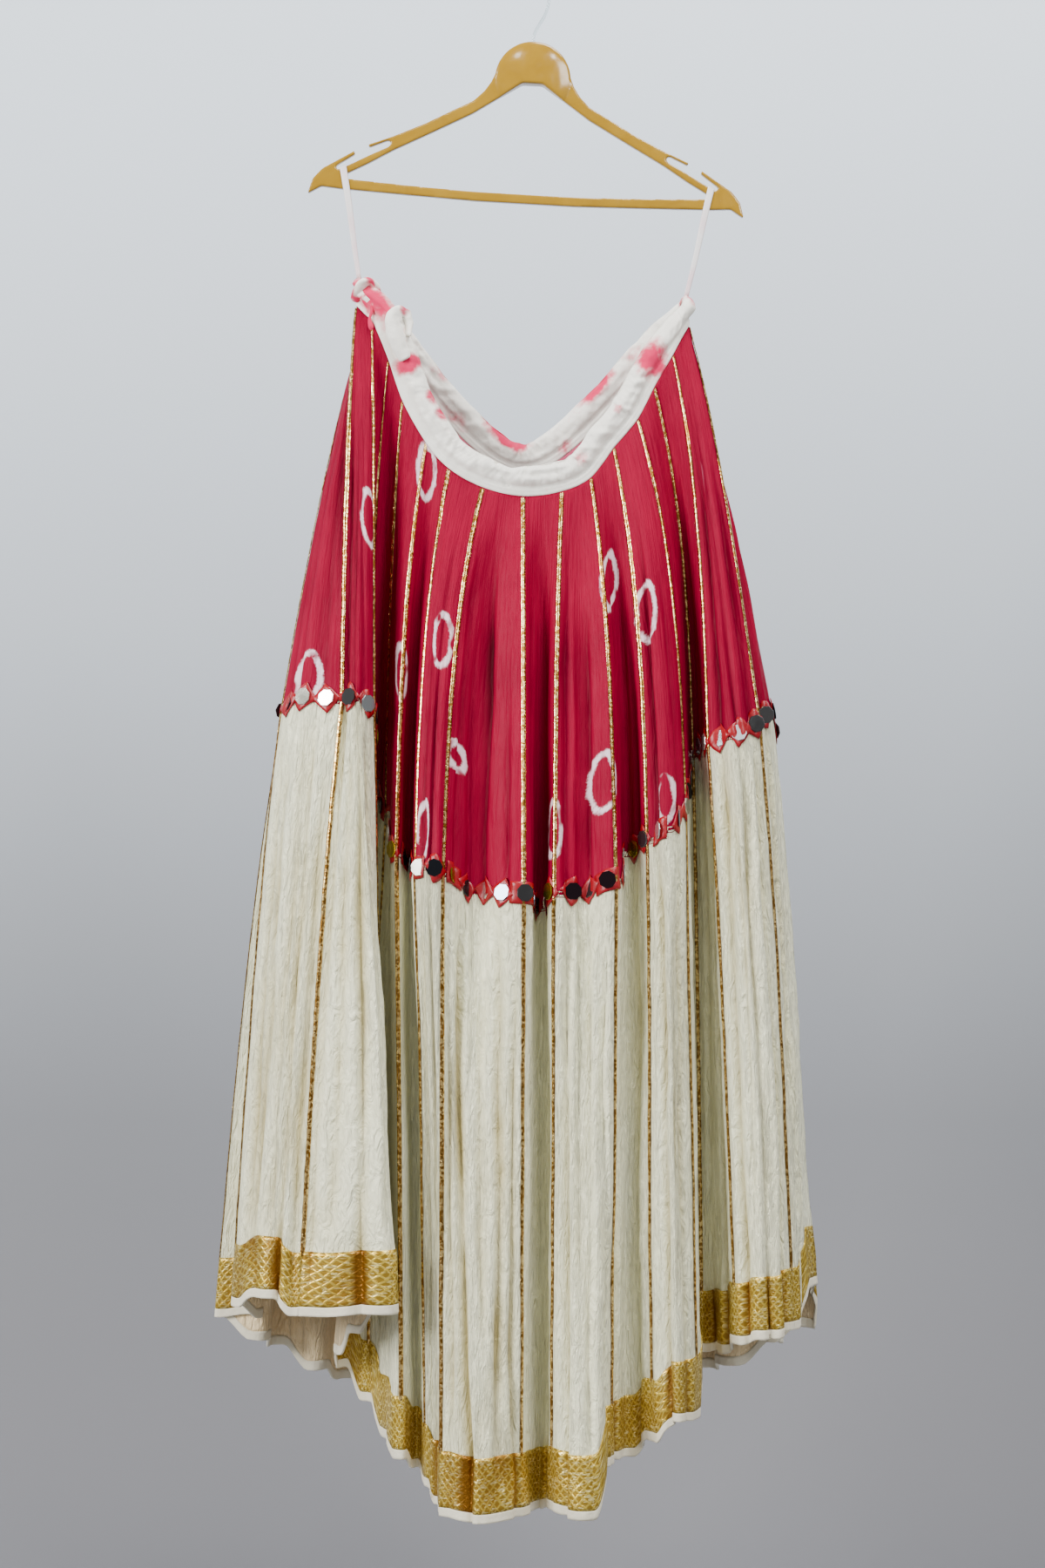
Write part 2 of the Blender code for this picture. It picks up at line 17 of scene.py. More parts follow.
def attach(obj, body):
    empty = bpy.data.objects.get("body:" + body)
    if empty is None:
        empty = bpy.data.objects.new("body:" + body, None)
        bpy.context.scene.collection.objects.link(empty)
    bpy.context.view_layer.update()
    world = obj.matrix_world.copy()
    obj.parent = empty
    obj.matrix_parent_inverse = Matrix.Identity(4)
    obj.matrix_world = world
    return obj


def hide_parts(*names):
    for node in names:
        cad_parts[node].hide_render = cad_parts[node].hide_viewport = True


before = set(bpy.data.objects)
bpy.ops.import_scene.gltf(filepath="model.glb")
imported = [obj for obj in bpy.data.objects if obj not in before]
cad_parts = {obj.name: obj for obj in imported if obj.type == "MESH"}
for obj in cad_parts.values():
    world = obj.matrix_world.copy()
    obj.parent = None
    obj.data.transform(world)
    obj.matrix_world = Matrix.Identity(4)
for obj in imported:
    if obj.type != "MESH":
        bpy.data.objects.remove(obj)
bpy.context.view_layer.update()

MM = 0.001

# %% [markdown]
# ## Small helpers
# Colours are written as the hex values that a dyer's chart or a web page gives. Blender's shaders want linear
# light, so one function turns them. One more adds a node to a shader, sets it and links it, and a few short
# ones name the nodes that every cloth here needs.

# %% Colours, nodes and meshes
def colour(hexa):
    """An sRGB hex colour as linear RGBA."""
    channels = [int(hexa[place:place + 2], 16) / 255 for place in (0, 2, 4)]
    return tuple(c / 12.92 if c <= 0.04045 else ((c + 0.055) / 1.055) ** 2.4 for c in channels) + (1.0,)


def add(tree, kind, settings=None, inputs=None):
    """One node with its settings, and with its sockets set to a value or linked to another node's output."""
    node = tree.nodes.new(kind)
    for name, value in (settings or {}).items():
        setattr(node, name, value)
    for name, value in (inputs or {}).items():
        if isinstance(value, bpy.types.NodeSocket):
            tree.links.new(value, node.inputs[name])
        else:
            node.inputs[name].default_value = value
    return node


def new_material(name, **principled):
    """A Principled material: its node tree and its shader, with the plain values set on their own sockets."""
    material = bpy.data.materials.new(name)
    material.use_nodes = True
    shader = material.node_tree.nodes["Principled BSDF"]
    for socket, value in principled.items():
        shader.inputs[socket.replace("_", " ")].default_value = value
    return material, material.node_tree, shader


def dress(shader, **sockets):
    """Link outputs of other nodes to the shader's sockets."""
    for name, output in sockets.items():
        shader.id_data.links.new(output, shader.inputs[name.replace("_", " ")])


def cut_map(tree):
    """Metres round and down the cloth."""
    return add(tree, "ShaderNodeUVMap", {"uv_map": "cut"}).outputs[0]


def object_place(tree):
    return add(tree, "ShaderNodeTexCoord").outputs["Object"]


def kept(tree, name, output="Fac"):
    """A value that was kept for each vertex."""
    return add(tree, "ShaderNodeAttribute", {"attribute_name": name}).outputs[output]


def cloudy(tree, vector, scale, detail=2.0, distortion=0.0):
    """Soft noise from 0 to 1."""
    return add(tree, "ShaderNodeTexNoise", inputs={"Vector": vector, "Scale": scale, "Detail": detail,
                                                   "Distortion": distortion}).outputs["Fac"]


def stretched(tree, vector, across, down):
    """A vector with its first two coordinates multiplied."""
    inputs = {0: vector, 1: (across, down, 1.0)}
    return add(tree, "ShaderNodeVectorMath", {"operation": "MULTIPLY"}, inputs).outputs[0]


def span(tree, value, low, high, smooth=False, to=(0.0, 1.0)):
    """How far a value is from low to high."""
    settings = {"interpolation_type": "SMOOTHSTEP" if smooth else "LINEAR"}
    return add(tree, "ShaderNodeMapRange", settings, {"Value": value, "From Min": low, "From Max": high,
                                                      "To Min": to[0], "To Max": to[1]}).outputs[0]


def flakes(tree, vector, scale):
    """Small cells that each have a colour by chance: the colour, and its first channel as a value."""
    cells = add(tree, "ShaderNodeTexVoronoi", {"feature": "F1"}, {"Vector": vector, "Scale": scale})
    chance = cells.outputs["Color"]
    return chance, add(tree, "ShaderNodeSeparateColor", inputs={0: chance}).outputs[0]


def calculate(tree, operation, *values):
    return add(tree, "ShaderNodeMath", {"operation": operation}, dict(enumerate(values))).outputs[0]


def blend(tree, share, first, second):
    """A colour between two others, which are hex values or outputs."""
    first, second = (colour(each) if isinstance(each, str) else each for each in (first, second))
    return add(tree, "ShaderNodeMix", {"data_type": "RGBA"}, {0: share, 6: first, 7: second}).outputs[2]


def bump(tree, height, strength, distance, **under):
    """Relief for a shader's Normal, in metres. Normal may name a broader relief under it."""
    return add(tree, "ShaderNodeBump", inputs={"Height": height, "Strength": strength, "Distance": distance,
                                               **under}).outputs[0]


def finished(name, mesh, smooth=True):
    """A bmesh as a mesh, shaded smooth or flat."""
    data = bpy.data.meshes.new(name)
    mesh.to_mesh(data)
    mesh.free()
    if smooth:
        data.shade_smooth()
    return data


def show(name, data, *materials):
    """An object for a finished mesh, at the origin."""
    piece = bpy.data.objects.new(name, data)
    for material in materials:
        data.materials.append(material)
    bpy.context.scene.collection.objects.link(piece)
    return piece


def coordinates(data):
    """The places of a mesh's vertices as an array."""
    flat = np.empty(len(data.vertices) * 3)
    data.vertices.foreach_get("co", flat)
    return flat.reshape(-1, 3)


def numbers(columns, text):
    """A table of numbers as a list of rows."""
    return np.array(text.split(), float).reshape(-1, columns).tolist()


def unit(vectors):
    """Vectors of length 1."""
    return vectors / np.maximum(np.linalg.norm(vectors, axis=-1, keepdims=True), 1e-12)


def evenly(first, last, per_place):
    """Places round the skirt from one to another, this many to each whole one."""
    return np.linspace(first, last, round((last - first) * per_place) + 1)


def tell_faces(name, *pieces):
    print(name, sum(len(piece.data.polygons) for piece in pieces), "faces")


def only_verts(made):
    """The vertices among what a bmesh operator made."""
    return [thing for thing in made["geom"] if isinstance(thing, bmesh.types.BMVert)]

# %% [markdown]
# ## Studio
# A skirt like this is shown on a rail in front of a plain grey paper, under large soft lights. The paper here
# is one strip that runs from the floor up the wall in a curve, so no corner shows. Its back is see-through,
# which lets the skirt be looked at from behind too.

# %% Backdrop, lights and camera
FLOOR_Z, WALL_Y, PAPER_TOP, PAPER_FRONT = -1.78, 0.95, 2.6, -4.0
PAPER_HALF, PAPER_CURVE, CURVE_STEPS = 5, 0.5, 8

paper = bmesh.new()
profile = [(PAPER_FRONT, FLOOR_Z)]
for step in range(CURVE_STEPS + 1):
    angle = math.pi / 2 * step / CURVE_STEPS
    profile.append((WALL_Y - PAPER_CURVE * (1 - math.sin(angle)),
                    FLOOR_Z + PAPER_CURVE * (1 - math.cos(angle))))
profile.append((WALL_Y, PAPER_TOP))
edge = [paper.verts.new((-PAPER_HALF, y, z)) for y, z in profile]
strip = [paper.edges.new(pair) for pair in zip(edge, edge[1:])]
for vert in only_verts(bmesh.ops.extrude_edge_only(paper, edges=strip)):
    vert.co.x = PAPER_HALF
bmesh.ops.recalc_face_normals(paper, faces=paper.faces[:])
paper.faces.ensure_lookup_table()
if paper.faces[0].normal.z < 0:
    bmesh.ops.reverse_faces(paper, faces=paper.faces[:])

# Matt background paper with painted shade: darker towards the floor, where the lamps reach it less.
paper_finish, tree, shader = new_material("matt studio paper", Roughness=0.95, Specular_IOR_Level=0.1)
height = add(tree, "ShaderNodeSeparateXYZ", inputs={0: object_place(tree)}).outputs["Z"]
dress(shader, Base_Color=blend(tree, span(tree, height, -1.7, 0.4, smooth=True), "7C7C80", "DAE4EE"))
side = add(tree, "ShaderNodeNewGeometry")
clear = add(tree, "ShaderNodeBsdfTransparent")
either = add(tree, "ShaderNodeMixShader", inputs={0: side.outputs["Backfacing"], 1: shader.outputs[0],
                                                  2: clear.outputs[0]})
tree.links.new(either.outputs[0], tree.nodes["Material Output"].inputs["Surface"])
show("studio_paper", finished("studio_paper", paper), paper_finish)

world = bpy.data.worlds.new("soft room")
world.use_nodes = True
room = world.node_tree.nodes["Background"]
room.inputs["Color"].default_value = colour("E3E1DC")
room.inputs["Strength"].default_value = 0.5
bpy.context.scene.world = world

#            name           x     y     z    size  watts  aimed at
LAMPS = [
    ("window_left",       -2.8, -2.0,  0.3,  1.5,  195,  (0, 0, -0.8)),
    ("soft_box_right",     1.9, -3.2,  1.0,  1.3,   84,  (0, 0, -0.6)),
    ("glint_left",        -0.4, -1.9,  1.0,  0.16,  2.4, (0, 0, -0.12)),
    ("glint_right",        0.6, -1.9,  1.0,  0.16,  2.4, (0, 0, -0.12)),
    ("paper_wash",         0.8, -0.7,  2.0,  1.4,  115,  (0.7, 0.9, 0.4)),
]
for name, x, y, z, size, watts, target in LAMPS:
    lamp = bpy.data.lights.new(name, "AREA")
    lamp.size = size
    lamp.energy = watts
    holder = bpy.data.objects.new(name, lamp)
    holder.location = (x, y, z)
    holder.rotation_euler = (Vector(target) - holder.location).to_track_quat("-Z", "Y").to_euler()
    bpy.context.scene.collection.objects.link(holder)

lens = bpy.data.cameras.new("camera")
lens.sensor_width = 36
lens.lens = 72.73
camera = bpy.data.objects.new("camera", lens)
camera.location = (-0.0114, -3.2, -0.8386)
camera.rotation_euler = (math.radians(90), 0, 0)
bpy.context.scene.collection.objects.link(camera)
bpy.context.scene.camera = camera
print("studio:", len(LAMPS), "lamps, camera", round(-camera.location.y, 2), "m away")

# %% [markdown]
# ## How the cloth hangs
# The waistband is held at its two ends and sags between them, so each kali starts at its own height and falls
# straight down. Every seam and every fold between two seams has a place on the waist, one where the tiers are
# joined, and one at the hem. A smooth closed curve through the 52 places gives the section at any distance
# down. The cloth keeps its length: where it slants it falls less. The same table of folds makes the plain
# solid.

# %% The table of folds
UPPER, LOWER = 0.410, 0.582    # magenta tier, and cream tier with its border, metres down the cloth
HEM = UPPER + LOWER
OVERLAP = 6 * MM               # of the tiers, under the mirrors
BORDER = 0.052                 # zari border
FACING = 0.010                 # white strip below it
HEM_TUCK = 1 * MM              # of the strip, under the border
FRONT_KALIS, BACK_KALIS = 14, 12
PLACES = 2 * (FRONT_KALIS + BACK_KALIS)        # a seam at every even place, a fold at every odd one
MIDDLE_SEAM, SIDE_SEAM = FRONT_KALIS, 2 * FRONT_KALIS

# A seam and the fold after it to a row, in mm: the seam's place on the waist, then where the cloth hangs at
# the joint of the tiers and at the hem, each with the height that it would start from if it hung straight
# down. A lobe hangs level. A fold has no place of its own on the waist.
#   seam: waist x z, joint x y level, hem x y level; fold: joint x y level, hem x y level
FRONT = []
for row in numbers(14, """
    -179 -356 -191  -72 -357 -230 -100 -368 -174  -82 -355 -143 -114 -364
    -163 -373 -158  -66 -366 -150  -72 -362 -160  -38 -392 -178  -53 -385
    -146 -413 -166  -14 -420 -196  -30 -410 -158    4 -440 -194   -4 -430
    -132 -454 -148  -12 -462 -168    0 -462 -145  -38 -485 -148  -34 -492
    -108 -497 -136  -66 -505 -131  -72 -508 -124  -38 -515 -117  -40 -520
     -85 -523 -117  -84 -522 -107  -66 -538 -106 -106 -523  -98  -78 -560
     -51 -542  -89  -97 -528  -92 -100 -562  -60  -68 -543  -53 -126 -562
     -11 -551  -10 -104 -548  -12 -100 -561    5  -54 -556    4  -52 -557
      28 -546   20  -94 -545   18  -84 -556   44  -78 -544   47 -120 -557
      57 -532   80  -98 -535   76  -90 -512   93  -52 -503   92  -60 -506
      80 -502  111  -84 -494  117  -82 -490  131  -98 -486  140 -110 -470
     104 -473  150  -70 -462  160  -86 -468  156  -40 -435  163  -48 -440
     121 -440  160  -16 -408  169  -12 -412  166  -38 -398  186  -40 -408
     140 -407  172  -66 -397  200  -74 -396  198  -86 -396  229  -98 -394
     156 -376  224  -66 -386  256  -76 -388  238  -42 -372  272  -50 -352
"""):
    FRONT += [row[:8], [None, None] + row[8:]]
LAST_FOLD = (None, None, -228, -62, -357, -264, -94, -354)
BACK_JOINT = dict(centre_x=-14, half_x=255, half_y=88, depth=33, first=-0.15, last=0.36)
BACK_HEM = dict(centre_x=-24, half_x=303, half_y=120, depth=48, first=-0.15, last=0.42)
BACK_WAIST_LOW = -522
BACK_SAG_ROUND = 0.35
BACK_CROWDING = 0.05
OVAL_STEPS = 400
# Depth of the back's folds as a share of the given one: its mean, how much it varies, and how fast.
FOLD_MEAN, FOLD_VARY, FOLD_TURN = 0.86, 0.16, 2.4
WAIST_CENTRE, WAIST_HALF = -11, 168
WAIST_FRONT_DEPTH, WAIST_BACK_DEPTH = 34, 30
FRONT_TURN, BACK_TURN, DEPTH_TURN, LOWER_TURN = 0.7, 0.2, 0.35, 0.25
TURNING = len(FRONT) - 3       # the last three folds at the right hang as the back does
ROUNDNESS = 0.85
CURVE_REACH, CURVE_OUT = 3, 1 / 8
STEPPED_BELOW = 0.150          # from here down a lobe is level and the steps lie between the lobes


def back_places(centre_x, half_x, half_y, depth, first, last):
    """Seams and folds of the back, evenly spread along an oval, the folds pressed in unevenly."""
    angles = np.linspace(first, math.pi + last, OVAL_STEPS)
    oval = np.stack([centre_x + half_x * np.cos(angles), half_y * np.sin(angles)], axis=1)
    run = np.concatenate([[0], np.cumsum(np.linalg.norm(np.diff(oval, axis=0), axis=1))])
    points = []
    for step, angle in enumerate(np.interp(np.linspace(0, run[-1], 2 * BACK_KALIS - 3), run, angles)):
        outward = np.array([math.cos(angle) / half_x, math.sin(angle) / half_y])
        outward /= np.linalg.norm(outward)
        point = np.array([centre_x + half_x * math.cos(angle), half_y * math.sin(angle)])
        if step % 2:
            point = point - outward * depth * (FOLD_MEAN + FOLD_VARY * math.sin(FOLD_TURN * step))
        points.append(tuple(point))
    return points


def back_waist(step):
    """The back of the waist seam, which sags from the right end to the left one."""
    share = (step + 1) / (2 * BACK_KALIS - 1)
    right, left = FRONT[-2], FRONT[0]
    x = right[0] + (left[0] - right[0]) * (share - BACK_CROWDING * math.sin(2 * math.pi * share))
    end_z = right[1] + (left[1] - right[1]) * share
    aside = min(1.0, abs((x - WAIST_CENTRE) / WAIST_HALF))
    rise = math.hypot(aside, BACK_SAG_ROUND) - BACK_SAG_ROUND
    rise /= math.hypot(1, BACK_SAG_ROUND) - BACK_SAG_ROUND
    return x, BACK_WAIST_LOW + (end_z - BACK_WAIST_LOW) * rise


def waist_depth(x, depth):
    """How far the open waist stands out of its plane."""
    return depth * math.sqrt(1 - min(1.0, abs((x - WAIST_CENTRE) / WAIST_HALF)) ** 2)


waist = [None if x is None else (x, -waist_depth(x, WAIST_FRONT_DEPTH), z) for x, z, *_ in FRONT]
joint = [row[2:4] for row in FRONT] + back_places(**BACK_JOINT) + [LAST_FOLD[2:4]]
hem = [row[5:7] for row in FRONT] + back_places(**BACK_HEM) + [LAST_FOLD[5:7]]
levels = [(row[4], row[7]) for row in FRONT]
for step in range(1, 2 * BACK_KALIS - 2):
    x, z = back_waist(step)
    waist.append((x, waist_depth(x, WAIST_BACK_DEPTH), z))
    levels.append((z, z))
waist.append(None)
levels.append((LAST_FOLD[4], LAST_FOLD[7]))
waist = [None if place is None else np.array(place) for place in waist]
for index, place in enumerate(waist):
    # A fold starts half way between its seams, a little outwards where the waist curves.
    if place is None:
        waist[index] = (waist[index - 1] + waist[(index + 1) % PLACES]) / 2
        if CURVE_REACH <= index <= len(FRONT) - 2 - CURVE_REACH:
            wide = (waist[index - CURVE_REACH] + waist[index + CURVE_REACH]) / 2
            waist[index] += (waist[index] - wide) * CURVE_OUT
levels = [(place[2], *level) for place, level in zip(waist, levels)]
WAIST, JOINT, HEM_PLACES, LEVELS = (np.array(rows) * MM for rows in (waist, joint, hem, levels))
SIDE = np.array([1.0] * TURNING + [0.0] * (PLACES - TURNING))
print("folds and seams:", PLACES, "of which the front has", len(FRONT))

# %% [markdown]
# ## The section of the cloth
# One function gives the whole hanging surface as an array of points: rows are distances down the cloth,
# columns are places round it. Arrays are used because half a million points are quick that way.

# %% The surface
def turned(share, amount):
    """Ease from 0 to 1 that starts fast by the given amount."""
    return (1 - amount) * share + amount * (1 - (1 - share) ** 3)


def plan(distance):
    """Where every seam and fold is, seen from above, at a distance down the cloth."""
    if distance <= UPPER:
        share = max(0.0, distance) / UPPER
        across = turned(share, FRONT_TURN * SIDE + BACK_TURN * (1 - SIDE))
        x = WAIST[:, 0] + (JOINT[:, 0] - WAIST[:, 0]) * across
        y = WAIST[:, 1] + (JOINT[:, 1] - WAIST[:, 1]) * turned(share, DEPTH_TURN)
        return np.stack([x, y], axis=1)
    return JOINT + (HEM_PLACES - JOINT) * turned((distance - UPPER) / LOWER, LOWER_TURN)


MEASURED_ROWS, MEASURED_COLUMNS = 60, 12       # rows in all, and columns to a place, where cloth is measured
LEAST_FALL = 0.85              # of its length, however much the cloth slants
STEP_SHARPENING = 1.1          # of the steps between lobes, at the hem
FALLS = np.linspace(0, HEM + FACING, MEASURED_ROWS)
sideways = np.linalg.norm(np.diff([plan(distance) for distance in FALLS], axis=0), axis=2)
drop = np.sqrt(np.maximum(FALLS[1] ** 2 - sideways ** 2, (LEAST_FALL * FALLS[1]) ** 2))
DROPS = np.concatenate([np.zeros((1, PLACES)), np.cumsum(drop, axis=0)])


def hanging(distances, places):
    """Points of the cloth, an array of rows (distances down) by columns (places round, 0 to 52)."""
    drops = np.stack([np.interp(distances, FALLS, DROPS[:, k]) for k in range(PLACES)], axis=1)
    level = np.stack([np.interp(distances, [0, UPPER, HEM], heights) for heights in LEVELS], axis=1)
    control = np.concatenate([np.array([plan(d) for d in distances]), (level - drops)[:, :, None]], axis=2)
    ahead, behind = np.roll(control, -1, axis=1), np.roll(control, 1, axis=1)
    direction = unit(ahead - behind)
    chord = np.linalg.norm(ahead - control, axis=2, keepdims=True) * ROUNDNESS
    leave, arrive = direction * chord, np.roll(direction, -1, axis=1) * chord
    index = np.floor(places).astype(int)
    t = (places - index)[None, :, None]
    index %= PLACES
    rise = 3 * t ** 2 - 2 * t ** 3
    smooth = ((1 - rise) * control[:, index] + (t ** 3 - 2 * t ** 2 + t) * leave[:, index]
              + rise * ahead[:, index] + (t ** 3 - t ** 2) * arrive[:, index])
    # Further down the steps between lobes grow sharper.
    sharper = 1 + STEP_SHARPENING * np.clip(distances / HEM, 0, 1) ** 2
    crisp = np.clip((t - 0.5) * sharper[:, None, None] + 0.5, 0, 1)
    crisp = 3 * crisp ** 2 - 2 * crisp ** 3
    stepped = ((1 - crisp) * control[:, index] + crisp * ahead[:, index])[:, :, 2]
    smooth[:, :, 2] += (stepped - smooth[:, :, 2]) * np.minimum(1, distances / STEPPED_BELOW)[:, None]
    return smooth


def normals(points):
    """Outward normals of such an array of points."""
    down, round_ = np.gradient(points, axis=0), np.gradient(points, axis=1)
    return unit(np.cross(down, round_))


check = hanging(np.array([0.0, UPPER, HEM]), evenly(0, PLACES, MEASURED_COLUMNS))
ROUND = [np.linalg.norm(np.diff(row, axis=0), axis=1).sum() for row in check]
print("round the waist, the joint and the hem, in mm:", [round(size / MM) for size in ROUND])

# %% [markdown]
# ## Soft creases
# Real silk never hangs as smooth as the curve through its folds. Between the seams it drops in soft, uneven
# pleats that widen towards the hem, with sharp little valleys and rounded backs. A smooth noise that is
# stretched down the cloth gives them: taking its absolute value turns its zero lines into the valleys. A
# short table adds the pulls and dents, listed one by one. Piping holds the cloth flat along each seam,
# and tight folds leave no room for creases, so both are kept small there.

# %% Noise and creases
NOISE_SIZE = (97, 89)
VALLEY_ROUNDING = 0.003
MEAN_CREASE = 0.3              # taken off, so that creases neither widen nor narrow the skirt


def four_neighbours(table, i0, i1, j0, j1, s, t):
    """A table's value between four of its cells, where s and t are shares of the way."""
    return ((1 - s) * ((1 - t) * table[i0, j0] + t * table[i0, j1])
            + s * ((1 - t) * table[i1, j0] + t * table[i1, j1]))


def noise(u, v, seed):
    """Smooth value noise from -1 to 1 over two coordinates."""
    table = np.random.default_rng(seed).uniform(-1, 1, NOISE_SIZE)
    tall, wide = NOISE_SIZE
    i, j = np.floor(u).astype(int), np.floor(v).astype(int)
    s, t = u - i, v - j
    s, t = s * s * (3 - 2 * s), t * t * (3 - 2 * t)
    return four_neighbours(table, i % tall, (i + 1) % tall, j % wide, (j + 1) % wide, s, t)


def pleats(places, distances, cells, length, seed):
    """Rounded backs with sharp valleys, about cells of them to a place, each about length long."""
    wander = 0.5 * noise(places * 0.8, distances / 0.22, seed + 1)
    lines = noise(places * cells + wander * cells, distances / length, seed)
    # The bottoms of the valleys are rounded off a little, and the backs are high and low by turns.
    return np.sqrt(lines ** 2 + VALLEY_ROUNDING) * (0.78 + 0.22 * np.tanh(8 * lines)) - MEAN_CREASE


# Layers of pleats: share of the depth, how many to a place, metres long, seed.
PLEATS = [(1.9, 0.8, 0.4, 11), (0.5, 2.2, 0.24, 23)]
# How much room there is for a crease beside each seam and fold, at the joint and at the hem.
FULL_REACH, LEAST_ROOM = 0.062, 0.15
ROOM = []
for row in (JOINT, HEM_PLACES):
    reach = np.linalg.norm(np.roll(row, -1, axis=0) - np.roll(row, 1, axis=0), axis=1)
    ROOM.append(np.clip(reach / FULL_REACH, LEAST_ROOM, 1.0))

# Valleys pressed into the magenta tier, then those of the cream one.
#   place_from place_to, mm down_from down_to, mm deep wide
JOINED, HEMMED = round(UPPER / MM), round(HEM / MM)
VALLEYS = numbers(6, """
      0.3  0.25  60 410  7 7     0.7  0.75  90 410  9 7     1.3   1.3  80 410  6 6
      4.5   4.5  90 410  5 6     6.5   6.6 120 410  5 6     8.6   8.5  60 410  6 6
    10.45  10.5  90 410  6 6   11.35  11.3  50 410 10 7    12.4  12.3  60 410  7 6
    12.75  12.8 150 410  6 6   13.15 13.25  40 410 10 8    13.6 13.65 170 410  7 6
     14.6  14.6  60 410  6 6   15.45  15.4  90 410  7 6   16.55  16.5  50 410 10 7
    17.25 17.35 110 410  8 7    18.6  18.5  50 410  8 6    19.4 19.45 120 410  6 6
    20.55  20.5  60 410 10 7   21.35  21.4 150 410  7 6    22.5  22.5  90 410  5 5
     24.6 24.55  90 410  6 6   26.35  26.4  60 410  9 7   27.15  27.2  50 410  7 6
     27.6  27.7 110 410 10 7    28.6  28.5  80 410  8 7    29.5  29.5  60 410  8 7
     51.5  51.5  60 410  9 7
      0.2  0.12 410 990 12 7     0.5  0.32 425 930  8 6    0.82  0.62 410 992 13 8
     1.35     1 430 960  8 7     2.5   2.5 415 960  6 6     6.5   6.6 415 960  6 6
      9.3  9.45 412 990  7 6   10.55  10.6 430 960  8 6    11.3 11.35 412 992 12 7
    12.22 12.28 430 930  9 6   12.62  12.7 412 992 13 7    13.1 13.05 470 850  6 6
    13.38  13.4 412 970 11 7   13.74 13.78 440 992  9 6   14.55  14.5 412 992  9 6
     15.5  15.5 412 992  8 6   16.52 16.56 412 992 13 7   16.85  16.9 480 900  7 6
     17.3 17.28 412 980 11 7   17.68 17.74 430 992  9 6   18.48 18.42 412 992 10 6
    19.45  19.5 412 992  9 6   20.52 20.58 412 992 13 7   21.15  21.1 450 900  7 6
    21.45  21.5 412 992 10 6    21.8 21.85 430 960  8 6    24.6  24.5 412 992  8 6
     25.4 25.35 430 992  9 6   26.42 26.32 412 992 13 7   26.75  26.8 470 900  7 6
    27.12 27.05 430 992 10 7   27.62  27.6 412 992 13 7    28.5  28.5 412 992 10 7
     29.4  29.4 412 992 11 7   51.45 51.42 412 992 12 7    51.8  51.7 440 940  8 6
""")
WANDER = 0.07                  # places that a valley strays from its straight line
SIDES = (0.42, 1.5)            # widths of its steep side and of its sloping one
RIM = 0.25                     # height of the rim beside it, as a share of its depth
FADE = 60                      # mm that it takes to fade out
SEAM_LOOSENESS, SEAM_HOLD = 0.3, 0.25          # share of the creases that a seam lets be, and places it holds
# The back hangs in the same way: four valleys to a gore on each tier, spaced by chance.
scatter = np.random.default_rng(17)
for kali in range(15, 26):
    for share in (0.3, 0.7, 1.25, 1.7):
        at = 2 * kali + share + scatter.uniform(-0.12, 0.12)
        VALLEYS.append((at, at + scatter.uniform(-0.08, 0.08), scatter.uniform(40, 140), 410,
                        scatter.uniform(4, 7.5), scatter.uniform(6, 8)))
        at = 2 * kali + share + scatter.uniform(-0.12, 0.12)
        VALLEYS.append((at, at + scatter.uniform(-0.1, 0.1), scatter.uniform(410, 440),
                        scatter.uniform(930, 992), scatter.uniform(6, 10), scatter.uniform(6, 8)))

ARC_STEP = 8                   # columns to a place, in the table of lengths round the cloth
arc_rows = np.linspace(0, HEM + 2 * FACING, MEASURED_ROWS)
arc_points = hanging(arc_rows, evenly(-2, PLACES + 2, ARC_STEP))
arc_steps = np.linalg.norm(np.diff(arc_points, axis=1), axis=2)
ARC = np.concatenate([np.zeros((len(arc_rows), 1)), np.cumsum(arc_steps, axis=1)], axis=1)


def between(table, row, column):
    """A table's value at a row and column that need not be whole."""
    row = np.clip(row, 0, table.shape[0] - 1.001)
    column = np.clip(column, 0, table.shape[1] - 1.001)
    i, j = row.astype(int), column.astype(int)
    s, t = row - i, column - j
    if table.ndim == 3:
        s, t = s[..., None], t[..., None]
    return four_neighbours(table, i, i + 1, j, j + 1, s, t)


def along(place, distance):
    """Metres of cloth round to a place, at a distance down."""
    return between(ARC, distance / arc_rows[1], (place + 2) * ARC_STEP)


def valley(place_from, place_to, down_from, down_to, deep, width, distances, run, all_round):
    """How deep one valley of the table is at every point, in metres, with a low rim on both sides."""
    down = distances / MM
    share = np.clip((down - down_from) / (down_to - down_from), 0, 1)
    own = np.full(len(distances), place_from)
    line = place_from + (place_to - place_from) * share + WANDER * noise(distances / 0.12, own * 3, 41)
    # It fades in and out where it doesn't start or end at an edge of its tier.
    strength = 0.85 + 0.3 * noise(distances / 0.09, own * 5, 43)
    if down_from > JOINED:
        strength *= np.clip((down - down_from) / FADE, 0, 1)
    if down_to not in (JOINED, HEMMED):
        strength *= np.clip((down_to - down) / FADE, 0, 1)
    if down_to == JOINED:
        strength *= np.clip((down - down_from) / (2 * FADE), 0, 1)
    aside = np.mod(run - along(line, distances)[:, None] + all_round / 2, all_round) - all_round / 2
    # One side is steep and the other one slopes, to the left or to the right by turns.
    steep = aside * math.sin(place_from * 7 + deep) > 0
    gap = np.abs(aside) / (width * np.where(steep, *SIDES) * MM)
    return deep * MM * strength[:, None] * (np.exp(-gap ** 1.3) - RIM * np.exp(-(gap / 2.6) ** 2))


